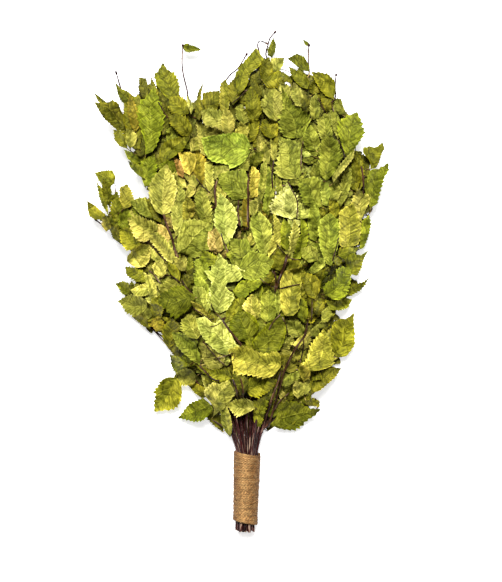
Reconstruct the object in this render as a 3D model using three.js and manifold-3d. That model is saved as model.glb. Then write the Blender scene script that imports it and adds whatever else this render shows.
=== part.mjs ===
// A birch sauna whisk lying on a flat surface: leafy birch stems, bound near the butts by jute twine.
// Millimetres. +Y runs from the cut butts to the twig tips, +X across the fan, +Z up from the surface.
import * as THREE from "three";
import { mergeVertices } from "three/addons/utils/BufferGeometryUtils.js";
import Module from "manifold-3d";

const wasm = await Module();
wasm.setup();
const { degToRad, lerp, mapLinear, smoothstep } = THREE.MathUtils;
const UP = new THREE.Vector3(0, 0, 1);

// Handle: the bare butts, the length under the twine, and its axis, which leans a little across X.
const BUTT_Y = -300;
const WINDING_BOTTOM_Y = BUTT_Y + 12;
const WINDING_TOP_Y = BUTT_Y + 94;
const AXIS_X_AT_BUTT = 7;
const AXIS_X_AT_TOP = 9.6;

// Stems stand in a honeycomb of rows. The pitch is tightest at the lower end of the winding.
const PITCH_AT_BUTT = 4.95;
const PITCH_AT_WAIST = 4.75;
const PITCH_AT_TOP = 5.6;
const ROW_RISE = Math.sqrt(3) / 2;
const STEM_BUTT_RADIUS = 2.15;
const STEM_FORK_RADIUS = 1.25;
const TWIG_TIP_RADIUS = 0.55;

// Twine: a close helix round the bundle.
const TWINE_RADIUS = 1.1;
const TWINE_PITCH = 2.75;
const WINDING_SLACK = 0.8; // between the outermost stems and the twine
const TWINE_STEPS_PER_TURN = 9; // flats per turn, each of them clear of the stems inside

// Layers of the fan, the lowest first, with one stem per tip. Each tip is
// [degrees from the handle's axis, reach above the winding].
const LAYERS = [
  { height: 3.5, tips: [[-25, 375], [-3, 440], [21, 350]] },
  { height: 17, tips: [[-35, 285], [-14, 445], [11, 440], [28, 320]] },
  { height: 31, tips: [[-33, 329], [-18, 470], [-7, 482], [8, 496], [26, 361]] },
  { height: 45, tips: [[-28, 345], [-12, 440], [4, 502.5], [19, 390]] },
  { height: 59, tips: [[-18, 385], [-2, 445], [14, 400]] },
];
const MIDDLE_ROW = (LAYERS.length - 1) / 2;
const FAN_CROWN = 0.45; // share of its layer's height that a tip loses at the fan's edge
const FAN_EDGE = degToRad(36);

// Shares of a stem's reach: where the bare stem becomes its leading spray, and where its side spray may
// leave it.
const FORK_SHARE = 0.42;
const SIDE_SHARES = [0.1, 0.2, 0.3];
const SIDE_TIP_SPREAD = 10; // degrees out from the stem's own tip
const SIDE_TIP_SHARE = 0.62;

// The two outermost middle stems each carry one more spray, low down and turned far out.
const LOW_SHARE = 0.09;
const LOW_TIPS = [[-56, 105], [48, 120]];

// Leaves: birch leaves are rhombic and folded along the midrib, and get smaller towards a twig's tip.
const LEAF_LENGTH = 64;
const LEAF_LENGTH_AT_TIP = 40;
const LEAF_WIDTH_SHARE = 0.8;
const LEAF_WIDEST_SHARE = 0.38;
const LEAF_THICKNESS = 0.8;
const LEAF_FOLD = 0.16;
const LEAF_SPACING = 50;
const LEAF_TURN = degToRad(62);
const LEAF_TURN_AT_TIP = degToRad(18);
const LEAF_LEANS = [0.2, -0.15, 0.35, 0, -0.3]; // about the midrib
const LEAF_PITCHES = [0, 0.15, -0.15, 0.35, -0.35]; // tip up or down

const GAP = 0.35; // clearance between two pieces that lie against each other

const BARK = { color: 0x3b2420, roughness: 0.6, metalness: 0 };
const LEAF = { color: 0x8a8f2c, roughness: 0.75, metalness: 0 };
const TWINE = { color: 0xa9824f, roughness: 0.9, metalness: 0 };

// Solids and geometry

function toSolid(geometry) {
  const bare = new THREE.BufferGeometry();
  bare.setAttribute("position", geometry.getAttribute("position"));
  bare.setIndex(geometry.getIndex());
  const merged = mergeVertices(bare);
  return new wasm.Manifold(
    new wasm.Mesh({
      numProp: 3,
      vertProperties: merged.getAttribute("position").array,
      triVerts: new Uint32Array(merged.getIndex().array),
    }),
  );
}

function toMesh(name, solid, finish) {
  const { vertProperties, triVerts } = solid.getMesh();
  const geometry = new THREE.BufferGeometry();
  geometry.setAttribute("position", new THREE.BufferAttribute(new Float32Array(vertProperties), 3));
  geometry.setIndex(new THREE.BufferAttribute(new Uint32Array(triVerts), 1));
  geometry.computeVertexNormals();
  const mesh = new THREE.Mesh(geometry, new THREE.MeshStandardMaterial(finish));
  mesh.name = name;
  return mesh;
}

// The level direction across a curve.
function acrossAt(curve, share) {
  return new THREE.Vector3().crossVectors(curve.getTangentAt(share), UP).normalize();
}

// A tube that tapers along a curve: a cylinder whose rings are carried to shares of the curve's length.
function taperedTube(curve, ringShares, startRadius, endRadius, sides) {
  const steps = ringShares.length - 1;
  const geometry = new THREE.CylinderGeometry(endRadius, startRadius, 1, sides, steps);
  const position = geometry.getAttribute("position");
  for (let i = 0; i < position.count; i++) {
    const share = ringShares[Math.round((position.getY(i) + 0.5) * steps)];
    const across = acrossAt(curve, share);
    const rise = across.clone().cross(curve.getTangentAt(share));
    const point = curve.getPointAt(share);
    point.addScaledVector(across, position.getX(i));
    point.addScaledVector(rise, position.getZ(i));
    position.setXYZ(i, point.x, point.y, point.z);
  }
  return geometry;
}

// Part of a curve, as a curve of its own.
function stretchOf(curve, from, to, points) {
  const shares = Array.from({ length: points }, (_, i) => lerp(from, to, i / (points - 1)));
  return new THREE.CatmullRomCurve3(shares.map((share) => curve.getPointAt(share)));
}

// The bundle in the handle

function pitchAt(y) {
  if (y < WINDING_BOTTOM_Y) return mapLinear(y, BUTT_Y, WINDING_BOTTOM_Y, PITCH_AT_BUTT, PITCH_AT_WAIST);
  return mapLinear(y, WINDING_BOTTOM_Y, WINDING_TOP_Y, PITCH_AT_WAIST, PITCH_AT_TOP);
}

// Radius at the corners of the winding's centreline. Its flats lie on the outermost stems, two pitches from
// the axis.
function windingRadius(y) {
  const flat = 2 * pitchAt(y) + STEM_BUTT_RADIUS + WINDING_SLACK + TWINE_RADIUS;
  return flat / Math.cos(Math.PI / TWINE_STEPS_PER_TURN);
}

// The handle's axis, at the height where the winding lies on the surface.
function handleAxis(y) {
  const x = mapLinear(y, BUTT_Y, WINDING_TOP_Y, AXIS_X_AT_BUTT, AXIS_X_AT_TOP);
  return new THREE.Vector3(x, y, windingRadius(y) + TWINE_RADIUS);
}

function stemSlot(row, column, y) {
  const middleColumn = (LAYERS[row].tips.length - 1) / 2;
  const slot = handleAxis(y);
  slot.x += (column - middleColumn) * pitchAt(y);
  slot.z += (row - MIDDLE_ROW) * pitchAt(y) * ROW_RISE;
  return slot;
}

// Stems

// A place in the fan, from where a stem leaves the winding.
function fanPlace(start, angle, reach, height) {
  return new THREE.Vector3(start.x + reach * Math.sin(angle), start.y + reach * Math.cos(angle), height);
}

// A layer is highest along the handle's axis, and comes down to the fan's two edges.
function layerHeight(row, angle) {
  return LAYERS[row].height * (1 - FAN_CROWN * Math.min(1, (angle / FAN_EDGE) ** 2));
}

// A stem's whole route, from its butt through the winding to its tip. It leaves the winding along the handle
// and bends out to its angle.
function stemRoute(row, column) {
  const [degrees, reach] = LAYERS[row].tips[column];
  const angle = degToRad(degrees);
  const start = stemSlot(row, column, WINDING_TOP_Y);
  const fan = [0.05, 0.12, 0.3, 0.5, 0.75, 1].map((share) => {
    const height = lerp(start.z, layerHeight(row, angle), smoothstep(share, 0, 0.6));
    return fanPlace(start, angle * share ** 0.25, reach * share, height);
  });
  return new THREE.CatmullRomCurve3([
    stemSlot(row, column, BUTT_Y),
    stemSlot(row, column, WINDING_BOTTOM_Y),
    stemSlot(row, column, (WINDING_BOTTOM_Y + WINDING_TOP_Y) / 2),
    start,
    ...fan,
  ]);
}

// Where along its whole route a stem is at a share of its reach above the winding.
function routeShare(route, reachShare) {
  const handleShare = (WINDING_TOP_Y - BUTT_Y) / route.getLength();
  return lerp(handleShare, 1, reachShare);
}

function stemRadius(reachShare) {
  return lerp(STEM_BUTT_RADIUS, STEM_FORK_RADIUS, Math.min(reachShare / FORK_SHARE, 1));
}

function makeStem(route) {
  const handle = [0, routeShare(route, 0) / 2, routeShare(route, 0)];
  const fan = [0.05, 0.14, 0.28, FORK_SHARE].map((share) => routeShare(route, share));
  return toSolid(taperedTube(route, [...handle, ...fan], STEM_BUTT_RADIUS, STEM_FORK_RADIUS, 5));
}

// Leaves

// A rhombic plate from its base at the origin along +Y, folded up along the midrib.
function leafPlate(length, margin) {
  const half = (length * LEAF_WIDTH_SHARE) / 2 + margin;
  const widest = length * LEAF_WIDEST_SHARE;
  const outline = new THREE.Shape();
  outline.moveTo(0, -margin);
  outline.lineTo(half, widest);
  outline.lineTo(0, length + margin);
  outline.lineTo(-half, widest);
  outline.closePath();
  const depth = LEAF_THICKNESS + 2 * margin;
  const plate = new THREE.ExtrudeGeometry(outline, { depth, bevelEnabled: false });
  const position = plate.getAttribute("position");
  for (let i = 0; i < position.count; i++) {
    position.setZ(i, position.getZ(i) - depth / 2 + LEAF_FOLD * Math.abs(position.getX(i)));
  }
  return plate;
}

// Stands a leaf on a twig: turned out to one side, pitched at its base and leaning about its own midrib.
function leafPlace(twig, share, turn, pitch, lean) {
  const length = twig.getTangentAt(share).applyAxisAngle(UP, -turn);
  const width = new THREE.Vector3().crossVectors(length, UP).normalize();
  length.applyAxisAngle(width, pitch);
  width.applyAxisAngle(length, lean);
  const face = new THREE.Vector3().crossVectors(width, length);
  return new THREE.Matrix4().makeBasis(width, length, face).setPosition(twig.getPointAt(share));
}

function standsClear(solid, neighbours) {
  if (solid.boundingBox().min[2] < 0) return false;
  return neighbours.every((neighbour) => solid.intersect(neighbour).isEmpty());
}

// A leafy spray: a twig with leaves in turn on its two sides, all one solid. A leaf that would touch another
// piece pitches or leans another way, and is left off where nothing is clear.
function makeSpray(twig, firstSide, neighbours) {
  let spray = twigSolid(twig, 0);
  const first = 0.1;
  const last = 1 - (0.85 * LEAF_LENGTH_AT_TIP) / twig.getLength();
  const leaves = Math.max(2, Math.round(((last - first) * twig.getLength()) / LEAF_SPACING) + 1);
  for (let i = 0; i < leaves; i++) {
    const progress = i / (leaves - 1);
    const share = lerp(first, last, progress);
    const turn = firstSide * (i % 2 ? -1 : 1) * lerp(LEAF_TURN, LEAF_TURN_AT_TIP, progress);
    const length = lerp(LEAF_LENGTH, LEAF_LENGTH_AT_TIP, progress);
    const leans = LEAF_LEANS.map((_, k) => LEAF_LEANS[(k + i) % LEAF_LEANS.length]);
    const places = LEAF_PITCHES.flatMap((pitch) => {
      return leans.map((lean) => leafPlace(twig, share, turn, pitch, lean));
    });
    const place = places.find((tried) => {
      return standsClear(toSolid(leafPlate(length, GAP).applyMatrix4(tried)), neighbours);
    });
    if (place) spray = spray.add(toSolid(leafPlate(length, 0).applyMatrix4(place)));
  }
  return spray;
}

function twigSolid(twig, margin) {
  const rings = [0, 1 / 3, 2 / 3, 1];
  return toSolid(taperedTube(twig, rings, STEM_FORK_RADIUS + margin, TWIG_TIP_RADIUS + margin, 3));
}

// The twig that carries a stem on from its fork to its tip.
function leadingTwig(route) {
  const start = routeShare(route, FORK_SHARE) + GAP / route.getLength();
  return stretchOf(route, start, 1, 5);
}

// A twig that leaves a stem's side and bends out to a tip of its own.
function sideTwig(route, reachShare, side, tip) {
  const share = routeShare(route, reachShare);
  const root = route.getPointAt(share);
  root.addScaledVector(acrossAt(route, share), side * (stemRadius(reachShare) + STEM_FORK_RADIUS + GAP));
  const middle = root.clone().lerp(tip, 0.5);
  middle.addScaledVector(route.getTangentAt(share), 0.06 * root.distanceTo(tip));
  return new THREE.CatmullRomCurve3([root, middle, tip]);
}

// Twine

class WindingCurve extends THREE.Curve {
  constructor() {
    super();
    this.turns = Math.floor((WINDING_TOP_Y - WINDING_BOTTOM_Y) / TWINE_PITCH);
  }

  getPoint(t, target = new THREE.Vector3()) {
    const angle = 2 * Math.PI * this.turns * t;
    const y = lerp(WINDING_BOTTOM_Y, WINDING_TOP_Y, t);
    const axis = handleAxis(y);
    const radius = windingRadius(y);
    return target.set(axis.x + radius * Math.cos(angle), y, axis.z + radius * Math.sin(angle));
  }
}

function makeTwine() {
  const section = new THREE.Shape();
  section.moveTo(TWINE_RADIUS, 0);
  section.lineTo(0, TWINE_RADIUS);
  section.lineTo(-TWINE_RADIUS, 0);
  section.lineTo(0, -TWINE_RADIUS);
  section.closePath();
  const winding = new WindingCurve();
  const steps = winding.turns * TWINE_STEPS_PER_TURN;
  return toSolid(new THREE.ExtrudeGeometry(section, { steps, extrudePath: winding, bevelEnabled: false }));
}

// The whisk

const whisk = new THREE.Group();
whisk.name = "birch_whisk";
const solids = [];

function addPiece(name, solid, finish) {
  solids.push(solid);
  whisk.add(toMesh(name, solid, finish));
}

const numbered = (word, number) => word + "_" + String(number).padStart(2, "0");

const stems = [];
LAYERS.forEach((layer, row) => {
  layer.tips.forEach(([degrees, reach], column) => {
    const middle = (layer.tips.length - 1) / 2;
    const side = column === middle ? (row % 2 ? 1 : -1) : Math.sign(column - middle);
    stems.push({ route: stemRoute(row, column), row, side, degrees, reach });
  });
});

addPiece("binding_twine", makeTwine(), TWINE);
stems.forEach(({ route }, i) => addPiece(numbered("stem", i + 1), makeStem(route), BARK));

const handleTop = handleAxis(WINDING_TOP_Y);
const leading = stems.map(({ route, side }, i) => {
  return { twig: leadingTwig(route), side, name: numbered("leading_spray", i + 1) };
});

const middleStems = stems.filter(({ row }) => row === MIDDLE_ROW);
const outermost = [middleStems[0], middleStems[middleStems.length - 1]];
const low = outermost.map(({ route, row, side }, i) => {
  const [degrees, reach] = LOW_TIPS[i];
  const tip = fanPlace(handleTop, degToRad(degrees), reach, layerHeight(row, FAN_EDGE));
  return { twig: sideTwig(route, LOW_SHARE, side, tip), side, name: numbered("low_spray", i + 1) };
});

const twigs = [...leading, ...low];
const twigSolids = twigs.map(({ twig }) => twigSolid(twig, GAP));

// A side spray leaves its stem at the first place where its twig is clear of the others, on the outer side
// if it can.
stems.forEach(({ route, row, side, degrees, reach }, i) => {
  const shares = SIDE_SHARES.map((_, k) => SIDE_SHARES[(i + k) % SIDE_SHARES.length]);
  const found = [side, -side]
    .flatMap((way) => {
      const angle = degToRad(degrees + way * SIDE_TIP_SPREAD);
      const tip = fanPlace(handleTop, angle, reach * SIDE_TIP_SHARE, layerHeight(row, angle));
      return shares.map((share) => ({ twig: sideTwig(route, share, way, tip), side: way }));
    })
    .find(({ twig }) => standsClear(twigSolid(twig, GAP), [...solids, ...twigSolids]));
  if (!found) return;
  twigs.push({ ...found, name: numbered("side_spray", i + 1) });
  twigSolids.push(twigSolid(found.twig, GAP));
});

// Every twig is in place before the first leaf, so that no leaf lies across a twig of another spray.
const grown = [...twigSolids];
twigs.forEach(({ name, twig, side }, i) => {
  const others = grown.filter((_, k) => k !== i);
  grown[i] = makeSpray(twig, side, [...solids, ...others]);
  whisk.add(toMesh(name, grown[i], LEAF));
});

// The origin is the middle of the whisk's own box, on the surface that it lies on.
const box = new THREE.Box3().setFromObject(whisk);
whisk.position.set(-(box.min.x + box.max.x) / 2, -(box.min.y + box.max.y) / 2, -box.min.z);

export default whisk;
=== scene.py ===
import math

import bpy
import numpy as np
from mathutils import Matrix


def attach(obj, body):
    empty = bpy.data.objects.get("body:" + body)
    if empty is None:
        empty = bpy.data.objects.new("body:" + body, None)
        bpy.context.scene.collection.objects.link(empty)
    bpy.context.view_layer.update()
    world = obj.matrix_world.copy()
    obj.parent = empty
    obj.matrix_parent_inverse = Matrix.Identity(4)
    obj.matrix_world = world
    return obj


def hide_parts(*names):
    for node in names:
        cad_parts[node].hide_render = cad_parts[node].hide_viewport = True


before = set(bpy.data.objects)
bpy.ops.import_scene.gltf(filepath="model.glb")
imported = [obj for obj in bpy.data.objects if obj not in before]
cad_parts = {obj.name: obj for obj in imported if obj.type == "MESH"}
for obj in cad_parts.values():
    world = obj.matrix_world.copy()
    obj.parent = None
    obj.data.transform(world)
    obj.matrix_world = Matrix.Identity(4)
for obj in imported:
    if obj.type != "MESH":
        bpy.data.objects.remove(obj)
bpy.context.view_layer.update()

# A dried birch whisk on a white table: 19 stems bound by jute twine, and the leafy sprays they fork into.
# Lengths are millimetres until a piece becomes a Blender object, which is in metres.
MM = 0.001
UP = np.array([0.0, 0.0, 1.0])
WHOLE_TURN = 6.3  # radians
rng = np.random.default_rng(7)

# The view: straight down, 502 x 582 pixels, with 1.2 mm to a pixel at the whisk's middle height.
PHOTO_ACROSS = 502
PHOTO_DOWN = 582
PIXEL = 1.2
MIDDLE_HEIGHT = 35
CAMERA_RISE = 2000
CAMERA_X = 14.8
CAMERA_Y = -9.7
SENSOR = 36
HANDLE_TOP_PIXEL = (246, 440)
GRID_ACROSS, GRID_DOWN = np.meshgrid(np.arange(PHOTO_ACROSS) + 0.5, np.arange(PHOTO_DOWN) + 0.5)

# Handle and stems, as in the CAD source. Its zero lies a little aside of the frame's.
SOURCE_ZERO = np.array([0.437, -0.105, -0.016])
BUTT_Y = -300
WINDING_BOTTOM_Y = BUTT_Y + 12
WINDING_TOP_Y = BUTT_Y + 94
AXIS_X_AT_BUTT = 7
AXIS_X_AT_TOP = 9.6
PITCH_AT_BUTT = 4.95
PITCH_AT_WAIST = 4.75
PITCH_AT_TOP = 5.6
ROW_RISE = math.sqrt(3) / 2
STEM_BUTT_RADIUS = 2.15
STEM_FORK_RADIUS = 1.25
TWIG_TIP_RADIUS = 0.55
TWINE_RADIUS = 1.1
TWINE_TURNS = 29
WINDING_SLACK = 0.8
TWINE_STEPS_PER_TURN = 9
PLY_TWIST = 10.5
PLY_RELIEF = 0.14
# Painted light on the plies' crowns and painted shade in the grooves between them.
PLY_PAINTED_LIGHT_AND_SHADE = 0.4
FIBRES = 420  # that stand off the twine
TUCKED_END = [(258, 498), (246, 502)]  # where the twine's end comes out and goes under, in photo pixels
STEM_SIDES = 12
TWINE_SIDES = 12
TWIG_SIDES = 7
STALK_SIDES = 5
FIBRE_SIDES = 3

# Layers of the fan, lowest first: height, and each tip's degrees from the handle and reach above the winding.
LAYERS = [
    (3.5, [(-25, 375), (-3, 440), (21, 350)]),
    (17, [(-35, 285), (-14, 445), (11, 440), (28, 320)]),
    (31, [(-33, 329), (-18, 470), (-7, 482), (8, 496), (26, 361)]),
    (45, [(-28, 345), (-12, 440), (4, 502.5), (19, 390)]),
    (59, [(-18, 385), (-2, 445), (14, 400)]),
]
MIDDLE_ROW = 2
FAN_CROWN = 0.45
FAN_EDGE = 36
FORK_SHARE = 0.42
SIDE_SHARES = [0.1, 0.2, 0.3]
SIDE_TIP_SPREAD = 10
SIDE_TIP_SHARE = 0.62
LOW_SHARE = 0.09
LOW_TIPS = [(-56, 105), (48, 120)]

# The leaf mass seen from the side: its height at reaches above the winding, and how it falls to both edges.
CROWN_REACHES = [0, 40, 90, 180, 330, 430, 520]
CROWN_HEIGHTS = [25, 29, 37, 45, 44, 30, 10]
MOUND_MIDDLE = -3
MOUND_EDGE = 36
MOUND_FALL = 0.8
TWIG_COVER = 1.5  # how far under the leaves the twigs lie
PRESSED_ABOVE = 60  # leaves that stand higher are pressed to a quarter of what stands out

# Leaf tones, as they look in the light of the photo (sRGB).
TONES = {
    "dark": (84, 81, 14),
    "deep_green": (103, 109, 20),
    "brown_green": (114, 109, 24),
    "olive": (127, 126, 28),
    "leaf_green": (137, 145, 34),
    "moss": (147, 140, 32),
    "green": (147, 153, 52),
    "bright_green": (160, 178, 58),
    "ochre": (164, 141, 40),
    "grey_green": (158, 157, 62),
    "light_green": (168, 172, 68),
    "golden": (172, 160, 58),
    "rust": (204, 146, 80),
    "tan": (204, 172, 92),
    "yellow_green": (182, 178, 80),
    "straw": (200, 190, 84),
    "pale_green": (202, 206, 96),
    "yellow": (216, 204, 88),
    "amber": (234, 206, 86),
    "cream": (246, 244, 134),
}
# Painted shade: the leaves are made darker towards the tips, and those in the gaps darker still: shade by
# pixels down the photo, of those that show and in the gaps.
SHADE_DOWN = [60, 150, 240, 340]
SHOWN_PAINTED_SHADE = [0.9, 0.92, 1.0, 1.05]
GAP_PAINTED_SHADE = [0.72, 0.78, 0.94, 1.02]
BARK_TONE = (56, 23, 17)
TWIG_TONE = (104, 72, 44)
STALK_TONE = (196, 178, 100)
TWINE_TONE = (128, 88, 46)
# The twine's painted highlight along the top of the winding.
TWINE_HIGHLIGHT_TONE = (190, 147, 96)
FIBRE_TONE = (190, 150, 94)
CUT_WOOD_TONE = (190, 150, 105)
LIGHT_GAIN = 1.68  # how much brighter a surface that faces the light looks than its own colour
WINDOW_PLACE = np.array([-1.2, 11.0, 19.0])
ROOM_LIGHT = 0.3  # the light from all round, as a share of the window's
SHEEN = 0.006  # the white gloss that the light adds to a dried leaf
PAINTED_LEAN_LIGHT = -0.42  # how far painted light and shade in a leaf's tone make up for the way it leans: lighter if it leans away from the light, darker if it faces it
WINDOW_SIZE = 11.0
WINDOW_POWER = 5600
LAMP_SIZE = 2.5
LAMP_POWER = 6600
ROOM_GLOW = 0.14
TABLE_HALF = 30.0
TABLE_WHITE = 0.93
TABLE_GLOW = 0.66

# Leaves under and between those that show. Sizes and places are photo pixels, slimness is width by length,
# and a lift is how many percent of what lies under a leaf it clears.
HIDDEN_LEAF_SPACING = 34  # millimetres along a twig
HIDDEN_TONES = (1, 9)  # which of the tones they have, in their order above
# Painted shade on the leaves hidden under those that show.
HIDDEN_PAINTED_SHADE = 0.6
LOWER_LEAF_ROWS = (40, 436)
LOWER_LEAF_COLUMNS = (90, 392)
LOWER_LEAF_SPACING = 18
LOWER_LEAF_SLIMNESS = (0.6, 0.8)
LOWER_LEAF_TILT = 0.15
LOWER_LEAF_LIFT = (35, 60)
BARE_SPOTS = 90
BARE_SPOT_SLIMNESS = 0.7
FOLDED_LEAVES = 360
FOLDED_LEAF_SIZES = (12, 26)
FOLDED_LEAF_SLIMNESS = (0.22, 0.6)
FOLDED_LEAF_TILT = 0.3
FOLDED_LEAF_LIFT = (50, 90)
LOWEST_LEAF_LENGTHS = [30, 20, 13]
LOWEST_LEAF_SLIMNESS = 0.85
LOWEST_LEAF_RISE = 0.5
# Painted shade on the leaves low under the stems and deep in the mass.
DARK_LEAF_PAINTED_SHADE = 0.7
TIP_LEAF_SLIMNESS = 0.45
EDGE_BAND = 20
SHOWN_LEAF_TILT = 0.32
SHOWN_LEAF_LIFT = (70, 97)

# Leaves on top of the fan, part by part, the upper ones last: each one's tone and outline, in photo pixels.
TOP_LEFT_LEAVES = [
    ("olive", [(95, 94), (100, 97), (106, 102), (104, 106), (98, 101)]),
    ("brown_green", [(98, 105), (105, 104), (113, 101), (118, 104), (121, 112), (126, 118), (124, 127),
        (118, 130), (110, 123), (104, 117), (100, 111)]),
    ("olive", [(115, 132), (121, 131), (126, 139), (127, 148), (120, 146), (115, 140)]),
    ("leaf_green", [(126, 151), (133, 153), (138, 159), (141, 162), (134, 163), (128, 159)]),
    ("leaf_green", [(142, 162), (150, 160), (156, 165), (155, 175), (150, 184), (145, 186), (142, 178),
        (140, 170)]),
    ("deep_green", [(130, 163), (137, 163), (142, 168), (143, 178), (137, 174), (131, 168)]),
    ("dark", [(140, 80), (146, 79), (148, 87), (147, 99), (143, 98), (139, 89)]),
    ("deep_green", [(117, 84), (121, 89), (128, 92), (134, 97), (133, 104), (127, 106), (121, 100),
        (118, 93)]),
    ("brown_green", [(126, 108), (133, 112), (139, 122), (141, 136), (139, 148), (133, 147), (129, 136),
        (124, 122)]),
    ("straw", [(127, 131), (133, 131), (137, 136), (135, 144), (130, 148), (126, 142)]),
    ("ochre", [(131, 98), (135, 105), (138, 115), (139, 126), (135, 131), (131, 124), (128, 113),
        (128, 104)]),
    ("brown_green", [(152, 80), (155, 84), (158, 93), (157, 100), (152, 97), (150, 88)]),
    ("dark", [(160, 104), (165, 108), (169, 118), (168, 132), (163, 134), (160, 122)]),
    ("olive", [(155, 76), (159, 71), (164, 67), (168, 71), (173, 73), (177, 79), (179, 87), (178, 95),
        (172, 100), (166, 96), (161, 90), (157, 84)]),
    ("moss", [(172, 99), (180, 97), (186, 101), (190, 107), (188, 113), (180, 115), (173, 113),
        (169, 107)]),
    ("yellow_green", [(187, 97), (191, 101), (193, 108), (191, 113), (188, 106)]),
    ("green", [(167, 130), (174, 128), (178, 135), (179, 143), (172, 146), (167, 140)]),
    ("olive", [(187, 139), (182, 150), (172, 157), (163, 163), (160, 155), (161, 147), (168, 141),
        (178, 138)]),
    ("moss", [(171, 117), (178, 115), (185, 116), (189, 122), (192, 130), (189, 135), (182, 135),
        (176, 129), (171, 124)]),
    ("leaf_green", [(147, 98), (153, 95), (158, 100), (161, 108), (163, 117), (162, 126), (159, 135),
        (156, 144), (151, 151), (146, 152), (146, 143), (143, 132), (139, 121), (138, 111), (142, 103)]),
]
TOP_MIDDLE_LEAVES = [
    ("brown_green", [(203, 94), (210, 92), (218, 93), (219, 103), (216, 110), (207, 111), (203, 103)]),
    ("brown_green", [(203, 86), (201, 95), (201, 105), (203, 112), (199, 119), (195, 115), (196, 104),
        (198, 93)]),
    ("brown_green", [(228, 86), (235, 80), (240, 88), (239, 98), (233, 104), (229, 97)]),
    ("olive", [(254, 53), (261, 57), (263, 62), (257, 68), (250, 73), (248, 82), (244, 89), (238, 93),
        (237, 83), (236, 74), (241, 66), (248, 58)]),
    ("deep_green", [(273, 40), (276, 45), (275, 52), (272, 57), (268, 55), (268, 49)]),
    ("yellow_green", [(271, 59), (278, 58), (283, 59), (283, 65), (279, 71), (273, 70)]),
    ("brown_green", [(262, 62), (269, 60), (272, 67), (272, 76), (268, 82), (262, 79), (260, 70)]),
    ("moss", [(263, 80), (270, 75), (279, 71), (287, 75), (289, 81), (281, 83), (277, 87), (268, 87)]),
    ("dark", [(250, 77), (256, 82), (261, 90), (262, 97), (257, 97), (252, 90)]),
    ("olive", [(246, 96), (251, 91), (257, 95), (260, 103), (261, 112), (257, 119), (253, 125), (249, 119),
        (246, 109)]),
    ("grey_green", [(236, 108), (242, 106), (246, 112), (248, 121), (243, 124), (237, 118)]),
    ("golden", [(221, 84), (226, 83), (229, 92), (229, 103), (227, 112), (221, 111), (220, 100),
        (220, 90)]),
    ("moss", [(250, 120), (258, 122), (258, 132), (254, 140), (248, 142), (246, 134), (249, 127)]),
    ("yellow_green", [(281, 84), (288, 85), (291, 93), (288, 100), (283, 95), (280, 89)]),
    ("yellow_green", [(293, 90), (300, 89), (303, 97), (302, 106), (296, 105), (292, 97)]),
    ("moss", [(263, 122), (268, 119), (275, 120), (278, 127), (277, 135), (271, 138), (265, 135),
        (261, 129)]),
    ("yellow_green", [(205, 113), (212, 109), (220, 112), (226, 112), (232, 116), (234, 124), (232, 131),
        (228, 134), (223, 131), (216, 127), (209, 126), (204, 122)]),
    ("straw", [(226, 111), (231, 113), (234, 120), (234, 128), (230, 134), (225, 133), (222, 126),
        (222, 117)]),
    ("yellow_green", [(262, 101), (267, 96), (274, 92), (280, 94), (284, 100), (284, 108), (281, 115),
        (276, 120), (270, 118), (265, 112), (262, 106)]),
    ("green", [(284, 93), (289, 99), (294, 108), (301, 110), (307, 114), (309, 121), (305, 129), (300, 136),
        (292, 137), (284, 135), (280, 127), (280, 117), (284, 110), (283, 101)]),
]
TOP_RIGHT_LEAVES = [
    ("deep_green", [(297, 54), (304, 57), (308, 64), (309, 71), (302, 70), (296, 65), (290, 60)]),
    ("olive", [(291, 69), (299, 72), (306, 76), (309, 82), (307, 88), (302, 87), (296, 82), (292, 76)]),
    ("brown_green", [(310, 86), (315, 80), (319, 84), (320, 92), (313, 94), (309, 91)]),
    ("brown_green", [(321, 92), (328, 96), (334, 99), (332, 108), (327, 112), (322, 103)]),
    ("moss", [(314, 75), (320, 73), (328, 75), (334, 81), (335, 90), (333, 98), (326, 95), (321, 90),
        (317, 83)]),
    ("dark", [(302, 100), (309, 100), (310, 110), (306, 113), (302, 107)]),
    ("grey_green", [(311, 100), (316, 96), (319, 102), (320, 111), (318, 118), (312, 119), (310, 110)]),
    ("grey_green", [(335, 100), (341, 99), (343, 106), (346, 113), (340, 114), (336, 109)]),
    ("green", [(304, 134), (311, 128), (317, 134), (320, 144), (316, 150), (307, 149), (303, 141)]),
    ("grey_green", [(318, 120), (325, 116), (331, 122), (332, 134), (328, 141), (321, 138), (318, 129)]),
    ("grey_green", [(331, 113), (337, 114), (341, 123), (342, 134), (338, 138), (333, 128)]),
    ("leaf_green", [(340, 122), (348, 117), (356, 117), (361, 123), (364, 132), (361, 138), (357, 144),
        (353, 150), (347, 155), (344, 148), (341, 139), (338, 130)]),
]
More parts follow.
